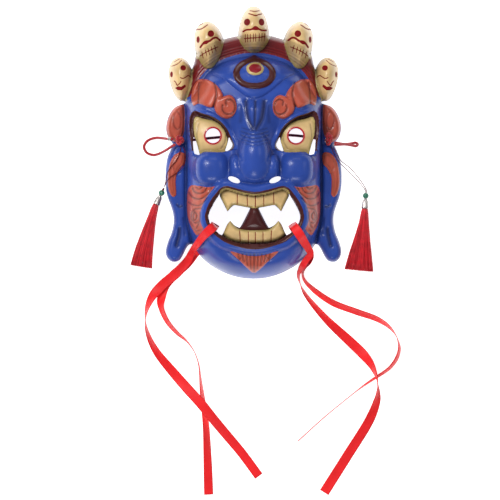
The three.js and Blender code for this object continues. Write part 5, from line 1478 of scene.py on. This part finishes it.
class MASK_OT_cords(bpy.types.Operator):
    """Elastic cord behind the mask and its loops and knots at the ears"""
    bl_idname = "mask.cords"
    bl_label = "Cords and knots"

    def execute(self, context):
        diameter = context.scene.cord_sizes.cord / MM
        braid = braided_cord()
        crimp = self.make_crimp()
        for name, route in CORD_ROUTES.items():
            piece, way = cord_piece(f"braided_{name}", route, diameter, braid, "red_cord", [name])
        for side in ("left", "right"):
            low, high = (np.array(corner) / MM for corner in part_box(f"ear_knot_{side}"))
            mesh = swept(f"knot_{side}", knot_way(low, high, diameter / 2), diameter / 2, 12, closed=True)
            dressed(f"cord_knot_{side}", mesh, braid, "red_cord", f"ear_knot_{side}")
        return {"FINISHED"}

    def make_crimp(self):
        """Sleeve pinched in its middle."""
        half, radius, (bevel_in, bevel_down) = CRIMP["length"] / 2, CRIMP["radius"], CRIMP["bevel"]
        upper = [(radius - CRIMP["pinch"], CRIMP["pinch_from"]), (radius, CRIMP["pinch_to"]),
                 (radius, half - bevel_down), (radius - bevel_in, half), (CRIMP["bore"], half)]
        o = turned("crimp_sleeve", [(r, -h) for r, h in upper[::-1]] + upper, ROUND_TURNS)
        way, _, _ = paced_way(CORD_ROUTES["ear_loop_left"], 0.2)
        i = int(CRIMP["along"] * len(way))
        set_down(o, way[i], way[i + 1] - way[i - 1])
        return dress(o, engraved_silver(), "silver_metal", "cord_crimp_left")


class MASK_OT_tassels(bpy.types.Operator):
    """Thread, bead, cap and fringe on each side"""
    bl_idname = "mask.tassels"
    bl_label = "Tassels"

    def execute(self, context):
        diameter = context.scene.cord_sizes.thread / MM
        twist, glass, silver, threads = twisted_thread(), green_glass(), engraved_silver(), fringe_thread()
        for side, tassel in TASSELS.items():
            carried = [make_bead(side, tassel, glass), make_cap(side, tassel, silver),
                       make_fringe(side, tassel, threads)]
            piece, way = cord_piece(f"thread_{side}", thread_way(tassel), diameter, twist, "crimson_thread",
                                    [f"tassel_thread_{side}"], 8)
        return {"FINISHED"}


class MASK_OT_ribbons(bpy.types.Operator):
    """Satin ribbons tied through the corners of the mouth"""
    bl_idname = "mask.ribbons"
    bl_label = "Ribbons"

    def execute(self, context):
        material = satin()
        thickness = context.scene.ribbon_sizes.thickness / MM
        for name, listed in RIBBONS.items():
            mesh, way = ribbon_mesh(name, listed, thickness)
            piece = dressed(f"satin_{name}", mesh, material, "red_ribbon", name)
        return {"FINISHED"}


class MASK_OT_moulding(bpy.types.Operator):
    """The painted plastic mask itself"""
    bl_idname = "mask.moulding"
    bl_label = "Mask"

    def execute(self, context):
        pitch = context.scene.mask_paint.pitch * 1
        dressed("painted_mask", mask_mesh(pitch), painted_plastic(), "painted_plastic", "mask_shell")
        return {"FINISHED"}


class MASK_OT_stage(bpy.types.Operator):
    """Pale floor and soft lights"""
    bl_idname = "mask.stage"
    bl_label = "Stage"

    def execute(self, context):
        deselect()
        bpy.ops.mesh.primitive_plane_add(size=FLOOR["size"], location=(0, 0, -FLOOR["gap"]))
        floor = context.active_object
        floor.name = "floor"
        floor.data.materials.append(pale_floor())
        for name, (place, size, share, colour) in SOFTBOXES.items():
            self.softbox(name, place, size, context.scene.stage_sizes.light * share, colour)
        world = bpy.data.worlds.new("studio")
        world.use_nodes = True
        background = world.node_tree.nodes["Background"]
        background.inputs["Color"].default_value = SKY["colour"]
        background.inputs["Strength"].default_value = SKY["strength"]
        context.scene.world = world
        context.scene.view_settings.view_transform = "Standard"
        return {"FINISHED"}

    def softbox(self, name, place, size, power, colour):
        light = bpy.data.lights.new(name, "AREA")
        light.shape = "SQUARE"
        light.size = size
        light.energy = power
        light.color = colour
        o = bpy.data.objects.new(name, light)
        o.location = place
        o.rotation_euler = (Vector(place) - Vector((0, 0, 0.03))).to_track_quat("Z", "Y").to_euler()
        bpy.context.collection.objects.link(o)


class MASK_PT_panel(bpy.types.Panel):
    """Lists the pieces"""
    bl_label = "Mask"
    bl_idname = "MASK_PT_panel"
    bl_space_type = "VIEW_3D"
    bl_region_type = "UI"
    bl_category = "Mask"

    def draw(self, context):
        for operator in OPERATORS:
            self.layout.operator(operator.bl_idname)
        for key in GROUPS:
            group = getattr(context.scene, key)
            for name in group.__annotations__:
                self.layout.prop(group, name)


OPERATORS = (MASK_OT_camera, MASK_OT_cords, MASK_OT_tassels, MASK_OT_ribbons, MASK_OT_moulding, MASK_OT_stage)
GROUPS = {"mask_paint": MaskPaint, "cord_sizes": CordSizes, "ribbon_sizes": RibbonSizes,
          "stage_sizes": StageSizes}


def register():
    for group in GROUPS.values():
        bpy.utils.register_class(group)
    for name, group in GROUPS.items():
        setattr(bpy.types.Scene, name, PointerProperty(type=group))
    for operator in OPERATORS:
        bpy.utils.register_class(operator)
    bpy.utils.register_class(MASK_PT_panel)


def unregister():
    bpy.utils.unregister_class(MASK_PT_panel)
    for operator in reversed(OPERATORS):
        bpy.utils.unregister_class(operator)
    for name, group in GROUPS.items():
        delattr(bpy.types.Scene, name)
        bpy.utils.unregister_class(group)


def main():
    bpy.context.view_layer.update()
    register()
    bpy.ops.mask.camera()
    bpy.ops.mask.cords()
    bpy.ops.mask.tassels()
    bpy.ops.mask.ribbons()
    bpy.ops.mask.moulding()
    bpy.ops.mask.stage()


if __name__ == "__main__":
    main()
